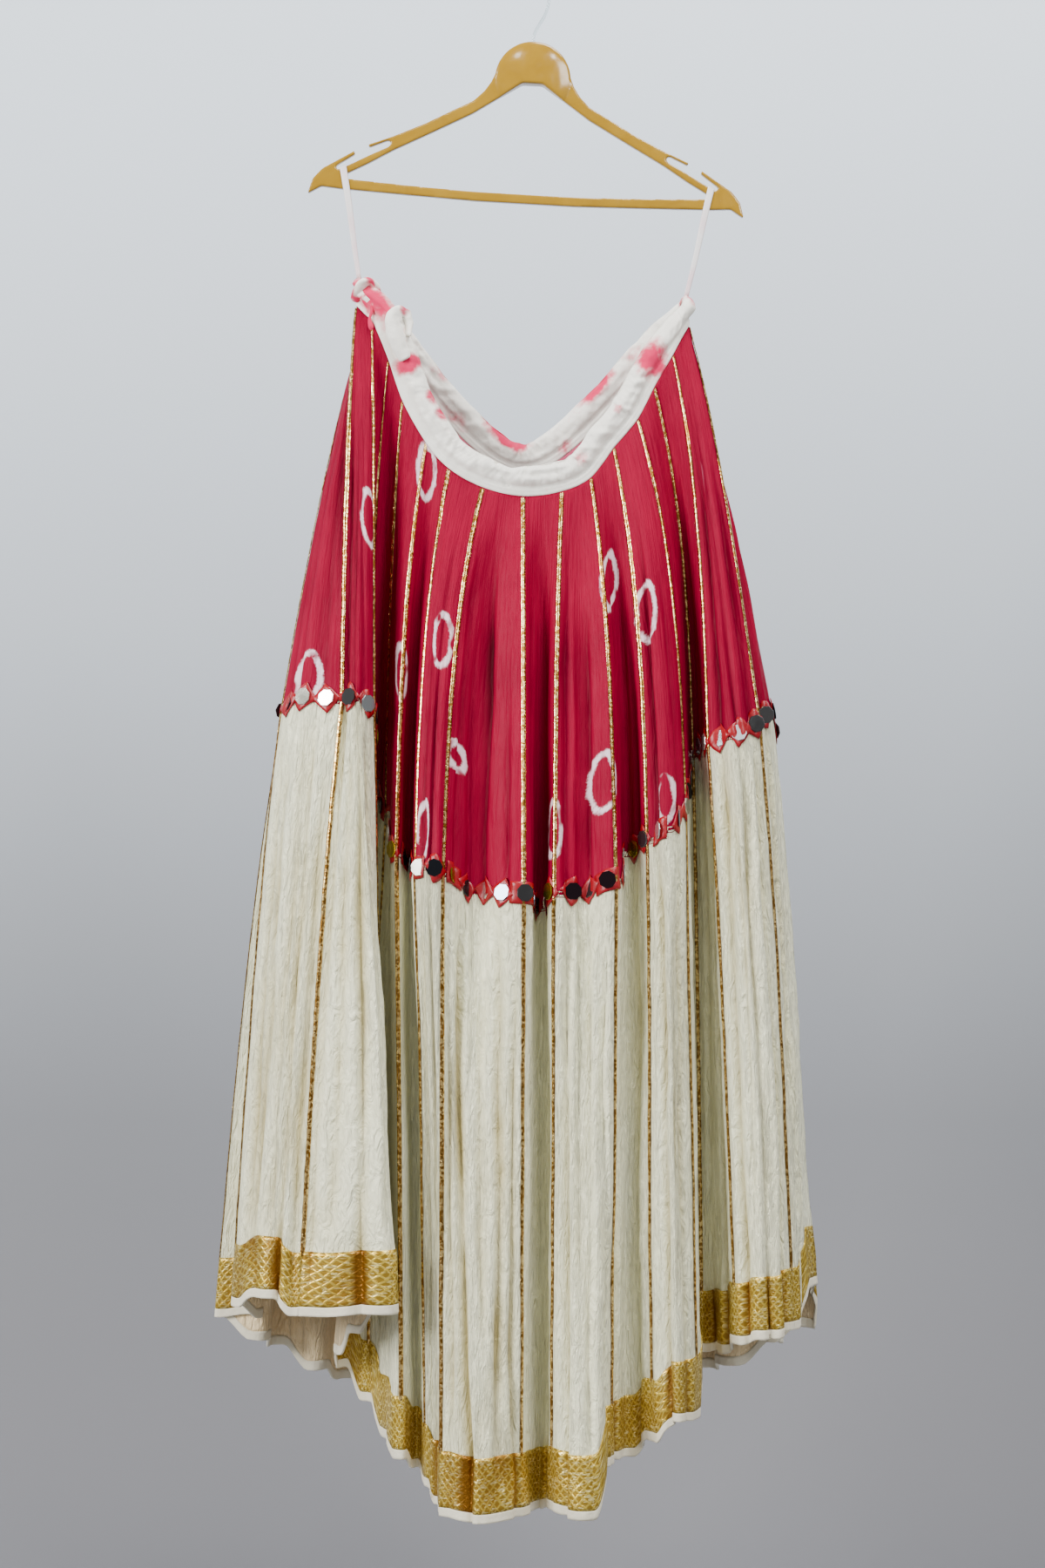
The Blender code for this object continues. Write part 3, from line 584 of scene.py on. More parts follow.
def creases(places, distances):
    """How far the creases move the cloth along its outward normal, in metres, as an array."""
    p, d = np.meshgrid(places, distances)
    turn = np.mod(p, PLACES)
    cream = np.clip((d - UPPER) / 0.03 + 0.5, 0, 1)      # 0 on the upper tier, 1 on the lower one
    depth = (0.6 + 3.6 * np.clip(d / UPPER, 0, 1) ** 1.2 + 1.2 * cream) * MM
    out = sum(share * depth * pleats(turn, d, *form) for share, *form in PLEATS)
    # Drags that run slantwise across the gores, then the fine crush. Each has its height in mm on the magenta
    # tier, and how much more or less it is on the cream one.
    slanting = noise(turn * 1.4 + d / 0.11, d / 0.13 - turn * 0.35, 31)
    out += (1.5 - 0.3 * cream) * MM * (np.abs(slanting) - MEAN_CREASE)
    out += (0.4 + 0.4 * cream) * MM * noise(turn * 8, d / 0.035, 37)
    out += (0.25 + 0.45 * cream) * MM * noise(turn * 7 + d / 0.05, d / 0.022 - turn, 39)
    run, all_round = along(p, d), along(PLACES + 0 * d, d) - along(0 * d, d)
    for row in VALLEYS:
        tier_share = cream if row[3] > JOINED else 1 - cream
        out -= (1.3 - 0.15 * cream) * tier_share * valley(*row, distances, run, all_round)
    seam = np.abs(p - 2 * np.round(p / 2))
    held = SEAM_LOOSENESS + (1 - SEAM_LOOSENESS) * np.clip(seam / SEAM_HOLD, 0, 1) ** 2
    room = [np.interp(turn, np.arange(PLACES + 1), np.append(each, each[0])) for each in ROOM]
    room = room[0] + (room[1] - room[0]) * np.clip((d - UPPER) / LOWER, 0, 1)
    return out * held * room * np.clip(d / 0.02, 0, 1)


def cloth(places, distances):
    """Points of the creased cloth."""
    margin, step = places[1] - places[0], distances[1] - distances[0]
    wide = np.concatenate([[places[0] - margin], places, [places[-1] + margin]])
    long = np.concatenate([[distances[0] - step], distances, [distances[-1] + step]])
    smooth = hanging(np.maximum(long, 0), wide)
    if distances[0] <= 0:
        smooth[0] = 2 * smooth[1] - smooth[2]
    return (smooth + normals(smooth) * creases(wide, np.maximum(long, 0))[:, :, None])[1:-1, 1:-1]

# %% [markdown]
# ## Laying a grid on the cloth
# Each cloth piece starts as a flat grid from bmesh. Its vertices are then moved to their places on the
# surface. The grid's own two directions become the UV map: metres round, and metres down. That lets a crinkle
# or a weave run down the cloth and fan out with the gores.

# %% Grid to cloth
WIDE = 0.042                   # mean metres of cloth from one place to the next, for the UV map
COVERS = {}                    # first and last place and distance of each laid piece


def lay(name, places, distances, points, *materials, **values):
    """A grid laid on an array of points, with a UV map in metres. Arrays of values are kept by name."""
    COVERS[name] = (places[0], places[-1], distances[0], distances[-1])
    columns, rows = len(places) - 1, len(distances) - 1
    grid = bmesh.new()
    bmesh.ops.create_grid(grid, x_segments=columns, y_segments=rows, size=1)
    data = finished(name, grid)
    flat = coordinates(data)
    column = np.rint((flat[:, 0] + 1) / 2 * columns).astype(int)
    row = np.rint((1 - flat[:, 1]) / 2 * rows).astype(int)
    data.vertices.foreach_set("co", points[row, column].ravel())
    corner = np.empty(len(data.loops), int)
    data.loops.foreach_get("vertex_index", corner)
    uv = np.stack([np.asarray(places)[column] * WIDE, np.asarray(distances)[row]], axis=1)[corner]
    data.uv_layers.new(name="cut").data.foreach_set("uv", uv.ravel())
    for key, array in values.items():
        keep(key, data, array[row, column])
    data.update()
    return show(name, data, *materials)


def thicken(piece, thickness, inside=0):
    """Solidify inwards. The inside may take the second material."""
    solid = piece.modifiers.new("thickness", "SOLIDIFY")
    solid.thickness = thickness
    solid.offset = -1
    solid.material_offset = inside
    return piece


def keep(name, data, values):
    """A value for each vertex that a shader can read."""
    data.attributes.new(name, "FLOAT", "POINT").data.foreach_set("value", np.asarray(values, np.float32))


def hollows(places, distances, deep):
    """How deep in a crease each point lies, 1 at this many mm: the mask of the painted shade in creases."""
    return np.clip(-creases(places, distances) / (deep * MM), 0, 1)

# %% [markdown]
# ## Magenta tier
# The upper tier is thin habotai silk, dyed after the white rings were tied off with thread, so a ring has a
# ragged, feathery edge where dye crept under the thread. The rings are ovals in the cloth's own metres. Their
# distance from each vertex is kept as an attribute, and the shader turns it into a white line.

# %% The silk of the upper tier
silk, tree, shader = new_material("magenta habotai silk, resist dyed", Roughness=0.5, Specular_IOR_Level=0.07)
cut = cut_map(tree)
# Dye never takes quite evenly: patches of 60 mm or so.
dyed = blend(tree, cloudy(tree, cut, 14.0, 3.0), "7C0026", "A20034")
# The tied line is about 6 mm wide, with threads 1.5 mm apart feathering its edge.
ragged = calculate(tree, "MULTIPLY_ADD", cloudy(tree, cut, 420.0), 0.0034, kept(tree, "ring"))
uneven = calculate(tree, "MULTIPLY_ADD", cloudy(tree, cut, 75.0, 1.0), 0.005, ragged)
line = span(tree, uneven, 0.0088, 0.0060, smooth=True)
# Where the thread sat loosely the dye crept through and broke the line.
tight = span(tree, cloudy(tree, cut, 38.0, 1.0), 0.36, 0.46)
# Painted shade: the silk is darkened in the bottom of a crease, where light comes from silk alone.
shaded = blend(tree, kept(tree, "hollow"), dyed, "540016")
tied = blend(tree, calculate(tree, "MULTIPLY", line, tight), shaded, "F1D6DE")
# Fine crinkle of the washed silk, 3 mm wide and 40 mm long.
crinkle = cloudy(tree, stretched(tree, cut, 330.0, 26.0), 1.0, 3.0, 0.4)
dress(shader, Base_Color=tied, Normal=bump(tree, crinkle, 0.9, 0.0019))

wrong_side, tree, shader = new_material("magenta habotai silk, wrong side", Roughness=0.6, Sheen_Weight=0.2)
cut = cut_map(tree)
dress(shader, Base_Color=blend(tree, cloudy(tree, cut, 14.0, 3.0), "A82A50", "BC4468"),
      Normal=bump(tree, cloudy(tree, cut, 300.0, 3.0), 0.4, 0.0006))

# %% The tied rings and the upper tier
SILK_THICKNESS = 0.8 * MM
FRONT_COLUMNS, BACK_COLUMNS = 18, 10           # to a place
UPPER_ROWS, LOWER_ROWS = 92, 118
#   place round, mm down, half width and half height in mm
RINGS = numbers(4, """
      8.4  24 14 24     1.6 213 14 27   11.17 173 15 27     7.9 230 15 25      51 385 15 25
    10.63 368 15 28    12.3 282 11 13   15.93 342 13 27    18.5 116 14 26    20.5 181 14 27
    17.68 306 14 27    20.9 376 14 22    30.5 120 15 27    32.2 290 15 28    34.6 190 15 27
     36.8 345 15 28    38.3 110 14 26    40.7 250 15 28    43.1 350 15 27    44.4 150 15 27
     46.9 280 15 28    49.2 180 15 27
""")


def ring_distance(p, d):
    """How far each point is from the line of the nearest ring, in metres."""
    # Metres of cloth from one place to the next, down the upper tier.
    metres_a_place = np.interp(d, [0, UPPER], [ROUND[0] / PLACES, ROUND[1] / PLACES])
    nearest = np.full(p.shape, 0.05)
    for place, down, half_width, half_height in RINGS:
        half_width, half_height = half_width * MM, half_height * MM
        u = (np.mod(p - place + PLACES / 2, PLACES) - PLACES / 2) * metres_a_place / half_width
        v = (d - down * MM) / half_height
        k = np.hypot(u, v) + 1e-9
        slope = np.hypot(u / half_width, v / half_height) / k
        nearest = np.minimum(nearest, np.abs(k - 1) / np.maximum(slope, 1.0))
    return nearest


def tier(name, first, last, per_place, distances, outer, inner):
    """A stretch of one tier from one place to another, as a thin shell."""
    places = evenly(first, last, per_place)
    ring, hollow = ring_distance(*np.meshgrid(places, distances)), hollows(places, distances, 10) ** 1.2
    piece = lay(name, places, distances, cloth(places, distances), outer, inner, ring=ring, hollow=hollow)
    tell_faces(name, piece)
    return thicken(piece, SILK_THICKNESS, inside=1)


upper_rows = np.linspace(0.0, UPPER, UPPER_ROWS)
upper_front = tier("tier_upper_front", 0, SIDE_SEAM, FRONT_COLUMNS, upper_rows, silk, wrong_side)
upper_back = tier("tier_upper_back", SIDE_SEAM, PLACES, BACK_COLUMNS, upper_rows, silk, wrong_side)

# %% [markdown]
# ## Cream tier
# The lower tier is the same weight of silk, undyed, twisted wet and dried so that it keeps a fine crush of
# lengthwise crinkles. It is modelled in three stretches so that none of them grows too heavy.

# %% The crushed silk and the lower tier
def crushed_silk(name, pale, dark, hollow):
    """Silk with threads of crinkle 4 mm wide and 22 mm long, with painted shade, darker and warmer, in its
    creases.
    """
    material, tree, shader = new_material(name, Roughness=0.5, Sheen_Weight=0.2, Sheen_Roughness=0.5,
                                          Specular_IOR_Level=0.4)
    cut = cut_map(tree)
    undyed = blend(tree, cloudy(tree, cut, 9.0, 4.0), dark, pale)
    crush = cloudy(tree, stretched(tree, cut, 230.0, 46.0), 1.0, 4.0, 1.4)
    # Painted shade: the colour turns darker and warmer where a crease is deep.
    dress(shader, Base_Color=blend(tree, kept(tree, "hollow"), undyed, hollow),
          Normal=bump(tree, crush, 1.0, 0.006))
    return material


crushed = crushed_silk("cream silk, crushed wet", pale="FDFDDE", dark="ECE9C0", hollow="B8A970")
crushed_wrong = crushed_silk("cream silk, wrong side", pale="FFE6B6", dark="F0D6A4", hollow="FFE6B6")

lower_rows = np.linspace(UPPER - OVERLAP, HEM, LOWER_ROWS)
silks = (crushed, crushed_wrong)
lower_left = tier("tier_lower_front_left", 0, MIDDLE_SEAM, FRONT_COLUMNS, lower_rows, *silks)
lower_right = tier("tier_lower_front_right", MIDDLE_SEAM, SIDE_SEAM, FRONT_COLUMNS, lower_rows, *silks)
lower_back = tier("tier_lower_back", SIDE_SEAM, PLACES, BACK_COLUMNS, lower_rows, *silks)

# %% [markdown]
# ## Patches to sew on
# Trims lie on the cloth, so they need its place and its outward direction at any point. A patch is a fine
# array of the surface, and looking a point up in it is a matter of blending its four neighbours.

# %% Looking up the surface
LOOKUP_STEP, LOOKUP_COLUMNS = 4 * MM, 20       # down the cloth, and columns to a place
lookup_rows = np.arange(-LOOKUP_STEP, HEM + 2 * FACING, LOOKUP_STEP)
lookup = cloth(evenly(-1, PLACES + 1, LOOKUP_COLUMNS), lookup_rows)
lookup_outward = normals(lookup)


def on_cloth(place, distance, out=0.0):
    """Points at a height above the cloth, and the outward directions there."""
    place, distance = np.broadcast_arrays(np.asarray(place, float), np.asarray(distance, float))
    row, column = distance / LOOKUP_STEP + 1, (place + 1) * LOOKUP_COLUMNS
    direction = unit(between(lookup_outward, row, column))
    return between(lookup, row, column) + direction * np.asarray(out)[..., None], direction


print("points to look up:", lookup[:, :, 0].size)

# %% [markdown]
# ## Gold piping
# Every seam carries a strip of gota: a woven ribbon of metal foil, folded over a cord. Its foil is crimped,
# so it flashes in one spot and is dark brown in the next. The strip is a narrow grid with a rounded back
# along each seam, and the crimps are small cells in the shader's bump, each of which tips the light another
# way. Each cell is also painted pale gold or dark brown by chance, as painted glints and painted shade.

# %% The piping's metal foil
gota, tree, shader = new_material("gold foil gota ribbon, crimped", Roughness=0.24, Metallic=1.0)
cut = cut_map(tree)
# Crimps of the foil are about 1.5 mm; drawn at 1.9 mm so that they show. Each one is painted pale gold or
# dark brown by chance, as a painted glint or painted shade.
crimp, glint_chance = flakes(tree, cut, 520.0)
glint_tone = blend(tree, span(tree, glint_chance, 0.35, 0.8), "8A6024", "F8DA96")
aged = blend(tree, span(tree, cloudy(tree, cut, 45.0), 0.4, 0.62), glint_tone, "B8843A")
dress(shader, Base_Color=blend(tree, 0.3, glint_tone, aged), Normal=bump(tree, crimp, 0.9, 0.0016))

# %% The piping strips
PIPING_HALF = 2.3 * MM
PIPING_STEP = 2.8 * MM
PIPING_LIFT = 0.2 * MM
PIPING_START, PIPING_UNDER = 2 * MM, 3 * MM    # below the waist seam, and under the border
PIPING_WOBBLE, WOBBLE_LENGTH = 0.25 * MM, 8 * MM
BESIDE = 0.04                  # places to the side, for the direction across the strip
PIPING_HEIGHTS = [0.1, 0.9, 1.25, 1.3, 1.25, 0.9, 0.1]     # mm above the cloth, across the strip


def join(name, objects, *materials):
    """Several objects' meshes as one piece."""
    whole = bmesh.new()
    for thing in objects:
        whole.from_mesh(thing.data)
        bpy.data.objects.remove(thing, do_unlink=True)
    return show(name, finished(name, whole), *materials)


def make_piping(name, seams):
    """Strips along the seams at these places, joined in one mesh."""
    strips = []
    rows = np.arange(PIPING_START, HEM - BORDER + PIPING_UNDER, PIPING_STEP)
    across = np.linspace(-1, 1, len(PIPING_HEIGHTS))
    for seam in seams:
        middle, outward = on_cloth(seam, rows)
        beside, _ = on_cloth(seam + BESIDE, rows)
        sideways = unit(beside - middle)
        wobble = PIPING_WOBBLE * noise(rows / WOBBLE_LENGTH, np.full(len(rows), seam * 3.7), 5)
        points = (middle[:, None] + sideways[:, None] * (across * PIPING_HALF + wobble[:, None])[:, :, None]
                  + outward[:, None] * (np.array(PIPING_HEIGHTS) * MM + PIPING_LIFT)[None, :, None])
        # Each strip has its own part of the UV map, so no two have the same crimps.
        strips.append(lay(f"strip_{seam}", (across * PIPING_HALF + seam * 0.01) / WIDE, rows, points))
    return join(name, strips, gota)


piping_front = make_piping("gota_piping_front", range(0, SIDE_SEAM + 2, 2))
piping_back = make_piping("gota_piping_back", range(SIDE_SEAM + 2, PLACES, 2))
tell_faces("piping:", piping_front, piping_back)

# %% [markdown]
# ## Mirror trim
# The magenta hem is edged with mirror work: each little mirror is held by a red satin ribbon that is folded
# into a square and set on its corner, and the lower corners hang free as a zigzag. One folded square and one
# tile are modelled, then repeated along the joint of the tiers. The ribbon bends with the cloth, the glass
# stays flat.

# %% Red satin and mirror glass
satin, tree, shader = new_material("red satin ribbon, folded", Roughness=0.36)
# Satin's threads are about 0.3 mm; drawn at 1.2 mm so that they show.
thread = cloudy(tree, object_place(tree), 700.0)
dress(shader, Base_Color=blend(tree, thread, "7A0010", "AE0018"), Normal=bump(tree, thread, 0.35, 0.0006))

# Painted reflection: each tile of silvered glass gets a colour by chance that stands for what it mirrors.
glass, tree, shader = new_material("silvered mirror glass, cut", Metallic=0.85)
smear = span(tree, cloudy(tree, object_place(tree), 90.0), 0.0, 1.0, to=(0.04, 0.2))
dress(shader, Base_Color=kept(tree, "tint", "Color"), Roughness=smear)

# %% Folded squares and tiles
MIRROR_PITCH = 24.5 * MM
MIRROR_DOWN = UPPER - OVERLAP
SQUARE_HALF = 15.5 * MM        # from its middle to a corner
SQUARE_OUT, TILE_OUT = 0.9 * MM, 1.7 * MM
TILE_RADIUS, TILE_THICKNESS, TILE_EDGE = 8.9 * MM, 1.2 * MM, 0.5 * MM
TILE_REACH = 0.06              # places to each side, for the direction along the cloth
TURN_LEFT_RIGHT = 0.18         # radians that a square is sewn on askew, at most
ROUND_STEPS = 2000
PAINTED_REFLECTIONS = "4A4A4C C9C9BC 8E7A14 2A1C24 7C8894 3A3A3E DADAD4 23252C 9AA0A4 5A5A5C".split()

square = bmesh.new()
bmesh.ops.create_grid(square, x_segments=8, y_segments=8, size=SQUARE_HALF / math.sqrt(2))
bmesh.ops.rotate(square, verts=square.verts[:], matrix=Matrix.Rotation(math.pi / 4, 3, "Z"))
for vert in square.verts:
    far = (abs(vert.co.x) + abs(vert.co.y)) / SQUARE_HALF
    pleat = 0.5 + 0.5 * math.cos(4 * math.atan2(vert.co.y, vert.co.x))
    vert.co.z = (0.5 + 2.6 * pleat ** 2 * far * (1.12 - far)) * MM
square_data = finished("square", square)

tile = bmesh.new()
bmesh.ops.create_circle(tile, cap_ends=True, segments=8, radius=TILE_RADIUS)
bmesh.ops.rotate(tile, verts=tile.verts[:], matrix=Matrix.Rotation(math.pi / 8, 3, "Z"))
top = only_verts(bmesh.ops.extrude_face_region(tile, geom=tile.faces[:]))
bmesh.ops.translate(tile, verts=top, vec=(0, 0, TILE_THICKNESS))
rim = [edge for edge in tile.edges if all(vert in top for vert in edge.verts)]
bmesh.ops.bevel(tile, geom=rim, offset=TILE_EDGE, segments=1, profile=0.5, affect="EDGES", material=-1)
bmesh.ops.recalc_face_normals(tile, faces=tile.faces[:])
tile_data = finished("tile", tile, smooth=False)


def stamp(whole, data, points):
    """Add a copy of a small mesh with its vertices at these points."""
    first = len(whole.verts)
    whole.from_mesh(data)
    whole.verts.ensure_lookup_table()
    for vert, point in zip(whole.verts[first:], points):
        vert.co = point


# Evenly spaced along the joint, by the length of the cloth there.
round_table = np.linspace(0, PLACES, ROUND_STEPS)
lengths = along(round_table, np.full(ROUND_STEPS, MIRROR_DOWN))
lengths -= lengths[0]
count = round(lengths[-1] / MIRROR_PITCH)
chance = np.random.default_rng(8)
squares, tiles, painted_reflections = bmesh.new(), bmesh.new(), []
for spot in np.interp((np.arange(count) + 0.4) * lengths[-1] / count, lengths, round_table):
    metres_a_place = np.interp(spot, round_table, np.gradient(lengths, round_table))
    down = MIRROR_DOWN + chance.uniform(-1, 1) * MM
    # One square in five is set straight, not on its corner.
    turn = chance.choice([0, 0, 0, 0, math.pi / 4]) + chance.uniform(-TURN_LEFT_RIGHT, TURN_LEFT_RIGHT)
    x, y, z = coordinates(square_data).T
    x, y = x * math.cos(turn) - y * math.sin(turn), x * math.sin(turn) + y * math.cos(turn)
    points, _ = on_cloth(spot + x / metres_a_place, down - y, z + SQUARE_OUT)
    stamp(squares, square_data, points)
    middle, outward = on_cloth(spot, down, TILE_OUT)
    (before, beside), _ = on_cloth([spot - TILE_REACH, spot + TILE_REACH], down)
    across = unit(beside - before)
    up = unit(np.cross(outward, across))
    up *= np.sign(up[2])
    stamp(tiles, tile_data, middle + coordinates(tile_data) @ np.array([across, up, outward]))
    # A painted reflection colour for this tile, picked by chance.
    painted_reflections += [colour(PAINTED_REFLECTIONS[chance.integers(len(PAINTED_REFLECTIONS))])] * len(tile_data.vertices)
squares = finished("mirror_squares", squares)
squares.set_sharp_from_angle(angle=math.radians(35))
mirror_squares = thicken(show("mirror_squares", squares, satin), 0.5 * MM)
tiles = finished("mirror_tiles", tiles, smooth=False)
tiles.attributes.new("tint", "FLOAT_COLOR", "POINT").data.foreach_set("color", np.ravel(painted_reflections))
mirror_tiles = show("mirror_tiles", tiles, glass)
print("mirrors:", count)

# %% [markdown]
# ## Zari border and white hem
# The border is brocade with gold thread, woven in crossing diagonals and sewn on above the hem. The hem
# itself is finished with a narrow strip of white cotton that shows below it. Both are strips on the same
# surface.

# %% Brocade and cotton
zari, tree, shader = new_material("zari brocade, gold thread", Roughness=0.34, Metallic=0.65)
cut = cut_map(tree)
bend = add(tree, "ShaderNodeTexNoise", inputs={"Vector": cut, "Scale": 60.0, "Detail": 1.0})
shaken = add(tree, "ShaderNodeVectorMath", {"operation": "MULTIPLY_ADD"},
             {0: bend.outputs["Color"], 1: (0.004, 0.004, 0.0), 2: cut}).outputs[0]
lattice = []
for degrees in (38, -38):
    # Crossing diagonals of the weave, 5 mm apart.
    rotation = (0, 0, math.radians(degrees))
    slanted = add(tree, "ShaderNodeMapping", inputs={"Vector": shaken, "Rotation": rotation})
    wave = add(tree, "ShaderNodeTexWave", {"wave_type": "BANDS"},
               {"Vector": slanted.outputs[0], "Scale": 60.0, "Distortion": 1.2, "Detail": 2.0})
    lattice.append(wave.outputs["Fac"])
crossed = span(tree, calculate(tree, "MAXIMUM", *lattice), 0.66, 1.0, smooth=True)
# The gold thread floats in dashes, 3 mm long and 1.2 mm high. A few dashes are painted pale yellow as glints.
dash, glint_chance = flakes(tree, stretched(tree, shaken, 330.0, 800.0), 1.0)
foil = blend(tree, span(tree, glint_chance, 0.72, 0.98), blend(tree, crossed, "A8862A", "DABD50"), "FDEB9C")
# Painted shade: the brocade turns dark brown where a crease is deep.
dress(shader, Base_Color=blend(tree, kept(tree, "hollow"), foil, "82540C"),
      Normal=bump(tree, dash, 0.55, 0.0012, Normal=bump(tree, crossed, 0.3, 0.0009)))


def cambric(name, white):
    """Cotton with pink where dye soaked in. Its 0.4 mm threads are drawn at 1 mm so that they show."""
    material, tree, shader = new_material(name, Roughness=0.82, Sheen_Weight=0.15, Specular_IOR_Level=0.3)
    place = object_place(tree)
    soaked = calculate(tree, "MULTIPLY_ADD", cloudy(tree, place, 110.0, 3.0), 0.9, kept(tree, "dye"))
    broad = bump(tree, cloudy(tree, place, 160.0), 0.35, 0.002)
    dress(shader, Base_Color=blend(tree, span(tree, soaked, 0.55, 1.15, smooth=True), white, "D81C54"),
          Normal=bump(tree, cloudy(tree, place, 900.0), 0.25, 0.0005, Normal=broad))
    return material


cotton = cambric("white cotton cambric, resist dyed", "F9F6EC")
hem_cotton = cambric("unbleached cotton cambric", "E6DFC8")

# %% The strips at the hem
#   name, first and last place, columns to a place
STRETCHES = [("front", 0, SIDE_SEAM, 18), ("back", SIDE_SEAM, PLACES, 12)]


def make_strips(name, start, end, rows, out, thickness, ragged, material):
    """A front and a back strip on the cloth between two distances, whose edges wander a little."""
    strips = []
    for side, first, last, per_place in STRETCHES:
        places = evenly(first, last, per_place)
        distances = np.linspace(start, end, rows + 1)
        p, d = np.meshgrid(places, distances)
        shift = ragged * noise(np.mod(p, PLACES) * 1.7, d * 0, 53) * np.where(d < (start + end) / 2, 1, 0.6)
        points, _ = on_cloth(p, d + shift, np.full(p.shape, out))
        strip = lay(f"{name}_{side}", places, distances, points, material,
                    hollow=hollows(places, distances, 5))
        strips.append(thicken(strip, thickness))
    return strips


border_front, border_back = make_strips("zari_border", HEM - BORDER, HEM, rows=14, out=1.2 * MM,
                                        thickness=0.8 * MM, ragged=1.2 * MM, material=zari)
hem_front, hem_back = make_strips("hem_strip", HEM - HEM_TUCK, HEM + FACING, rows=4, out=1.1 * MM,
                                  thickness=2.4 * MM, ragged=0.7 * MM, material=hem_cotton)
tell_faces("border:", border_front, border_back)

# %% [markdown]
# ## Waistband
# The skirt is gathered into a casing of white cotton. Its lower edge is a flat strip stitched to the silk,
# and above that the casing puffs up into a soft roll over the drawstring inside. It was dyed along with the
# skirt, and the dye reached it only in patches. The band is a grid whose columns go round the waist and whose
# rows go round the casing's own section, with its two seams merged.

# %% The band's path and section
BAND_WIDTH = 30 * MM
PATH_REACH = 0.02              # places to each side, for the direction along the band
APEX_LEAN, APEX_START, APEX_END = 0.08, 0.84, 0.96
BAND_COLUMNS, BAND_SIDES = 14, 40              # columns to a place, and rows round the section
# Across the band from its seam to its top edge, in mm, and half its thickness there.
SECTION_AT = [-15, -13, -9, -6, -3, 2, 8, 12.5, 15]
SECTION_HALF = [0.7, 1.3, 1.5, 2.3, 4.6, 6.1, 5.6, 3.4, 0.4]
# Places where the rolls of the front meet in a notch, where the left one ends and where the right one starts.
NOTCH, LEFT_ROLL_END, RIGHT_ROLL_START, ROLL_SLANT = 13.1, 12.9, 13.5, 0.045
# Patches where the dye reached the band.
#   place, mm across, half length in places, half height in mm, strength
DYE = numbers(5, """
     4.5  4 0.55 18 1.0     6.4 13 0.45  5 0.75    7.3 13 0.4  5 0.7    25.0  0 0.95 22 0.85
    21.8  8 0.45  6 0.5    18.4  6 0.75  8 0.5    28.1 10 0.5  9 0.75   40.6 15 2.2  10 1.15
    34.0 14 1.4  11 0.9    45.6 12 0.9   7 0.4    31.4  8 0.9 10 0.45   48.8  4 0.8  12 0.6
    37.0 -8 0.7   8 0.5    43.6 -6 0.8   8 0.45    1.2  4 2.2 16 0.9    51.4  4 0.7  14 0.6
""")


def band_path(places):
    """Middle of the band, the direction across it and the direction out of it, at places round the waist."""
    both_sides = np.concatenate([places - PATH_REACH, places + PATH_REACH])
    before, after = np.split(hanging(np.array([0.0]), both_sides)[0], 2)
    middle, run = (before + after) / 2, unit(after - before)
    zero = 0 * run[:, 0]
    across = unit(np.stack([-run[:, 2], zero, run[:, 0]], axis=1) * np.where(run[:, :1] > 0, 1, -1))
    # At both ends of the waist the band stands almost upright.
    aside = np.abs(middle[:, 0] - WAIST_CENTRE * MM) / (WAIST_HALF * MM)
    upright = unit(np.stack([np.where(middle[:, 0] > 0, -APEX_LEAN, APEX_LEAN), zero, 1 + zero], axis=1))
    share = np.clip((aside - APEX_START) / (APEX_END - APEX_START), 0, 1)[:, None]
    across = unit(across * (1 - share) + upright * share)
    return middle + across * BAND_WIDTH / 2, across, unit(np.stack([run[:, 1], -run[:, 0], zero], axis=1))


def ridge(away, width):
    """1 on a line, and nothing some way from it."""
    return np.exp(-(away / width) ** 2)


places = evenly(0, PLACES, BAND_COLUMNS)
turns = np.linspace(0, 2 * math.pi, BAND_SIDES + 1)
p, a = np.meshgrid(places, turns)
turn, flat, zero, edgewise = np.mod(p, PLACES), np.cos(a) * SECTION_AT[-1], a * 0, np.abs(np.sin(a))
# The left and the right roll of the front meet in a notch, and tuck under each other there.
notch = ridge(turn - NOTCH, 0.55)
height = flat * (1 - 0.28 * notch * (flat > 0)) + 0.9 * noise(turn * 1.3, zero, 71) * (flat > 5)
puff = 1 + 0.16 * noise(turn * 1.1, zero, 61) + 0.12 * noise(turn * 3.2, a / 2.2, 67)
bulge = np.interp(flat, SECTION_AT, SECTION_HALF) * np.minimum(1, edgewise * 2.2) * puff
# Folds that flow along the band, 5 mm apart across it, and gathers that slant over it 6 to 10 mm apart.
roll = np.clip((flat + 7) / 7, 0.15, 1)
flow = noise(turn * 0.7 + 2, flat / 4.5 + 0.25 * turn, 83)
gather = noise(turn * 3.4 + flat * 0.11, flat / 16 + 3, 73)
gather += 0.5 * noise(turn * 7.5 - flat * 0.2, flat / 9 + 5, 79)
bulge += (2.2 * flow + 1.4 * gather) * roll * edgewise ** 0.5
# The left roll tucks under the right one along a slanting line.
bulge -= 2.6 * ridge(turn - LEFT_ROLL_END + flat * ROLL_SLANT, 0.13) * (flat > -8)
bulge += 1.6 * ridge(turn - RIGHT_ROLL_START + flat * ROLL_SLANT, 0.4) * roll
# A lengthwise fold where the roll drops to the flat strip, one on the roll, and the line of stitches at the
# seam.
bulge -= (1.7 + 0.6 * noise(turn * 1.9, zero, 87)) * ridge(flat + 6.2, 1.3)
long_fold = ridge(flat - 3.5 - 3 * noise(turn * 0.6, zero, 89), 1.4)
bulge -= 1.5 * np.clip(0.4 + noise(turn * 0.9, zero, 97), 0, 1) * long_fold
bulge -= 0.5 * ridge(flat + 12.2, 0.7)
middle, across, out = band_path(places)
bulge *= np.sign(np.sin(a))
points = middle + across * (height * MM)[:, :, None] + out * (bulge * MM)[:, :, None]

dyed = zero
for at_place, at_height, half_length, half_height, strength in DYE:
    gap = np.abs(turn - at_place)
    gap = np.minimum(gap, PLACES - gap)
    far = np.hypot(gap / half_length, (height - at_height) / half_height)
    dyed = np.maximum(dyed, strength * np.clip(1.25 - far, 0, 0.8))

waistband = lay("waistband_casing", places, turns, points, cotton, dye=dyed)
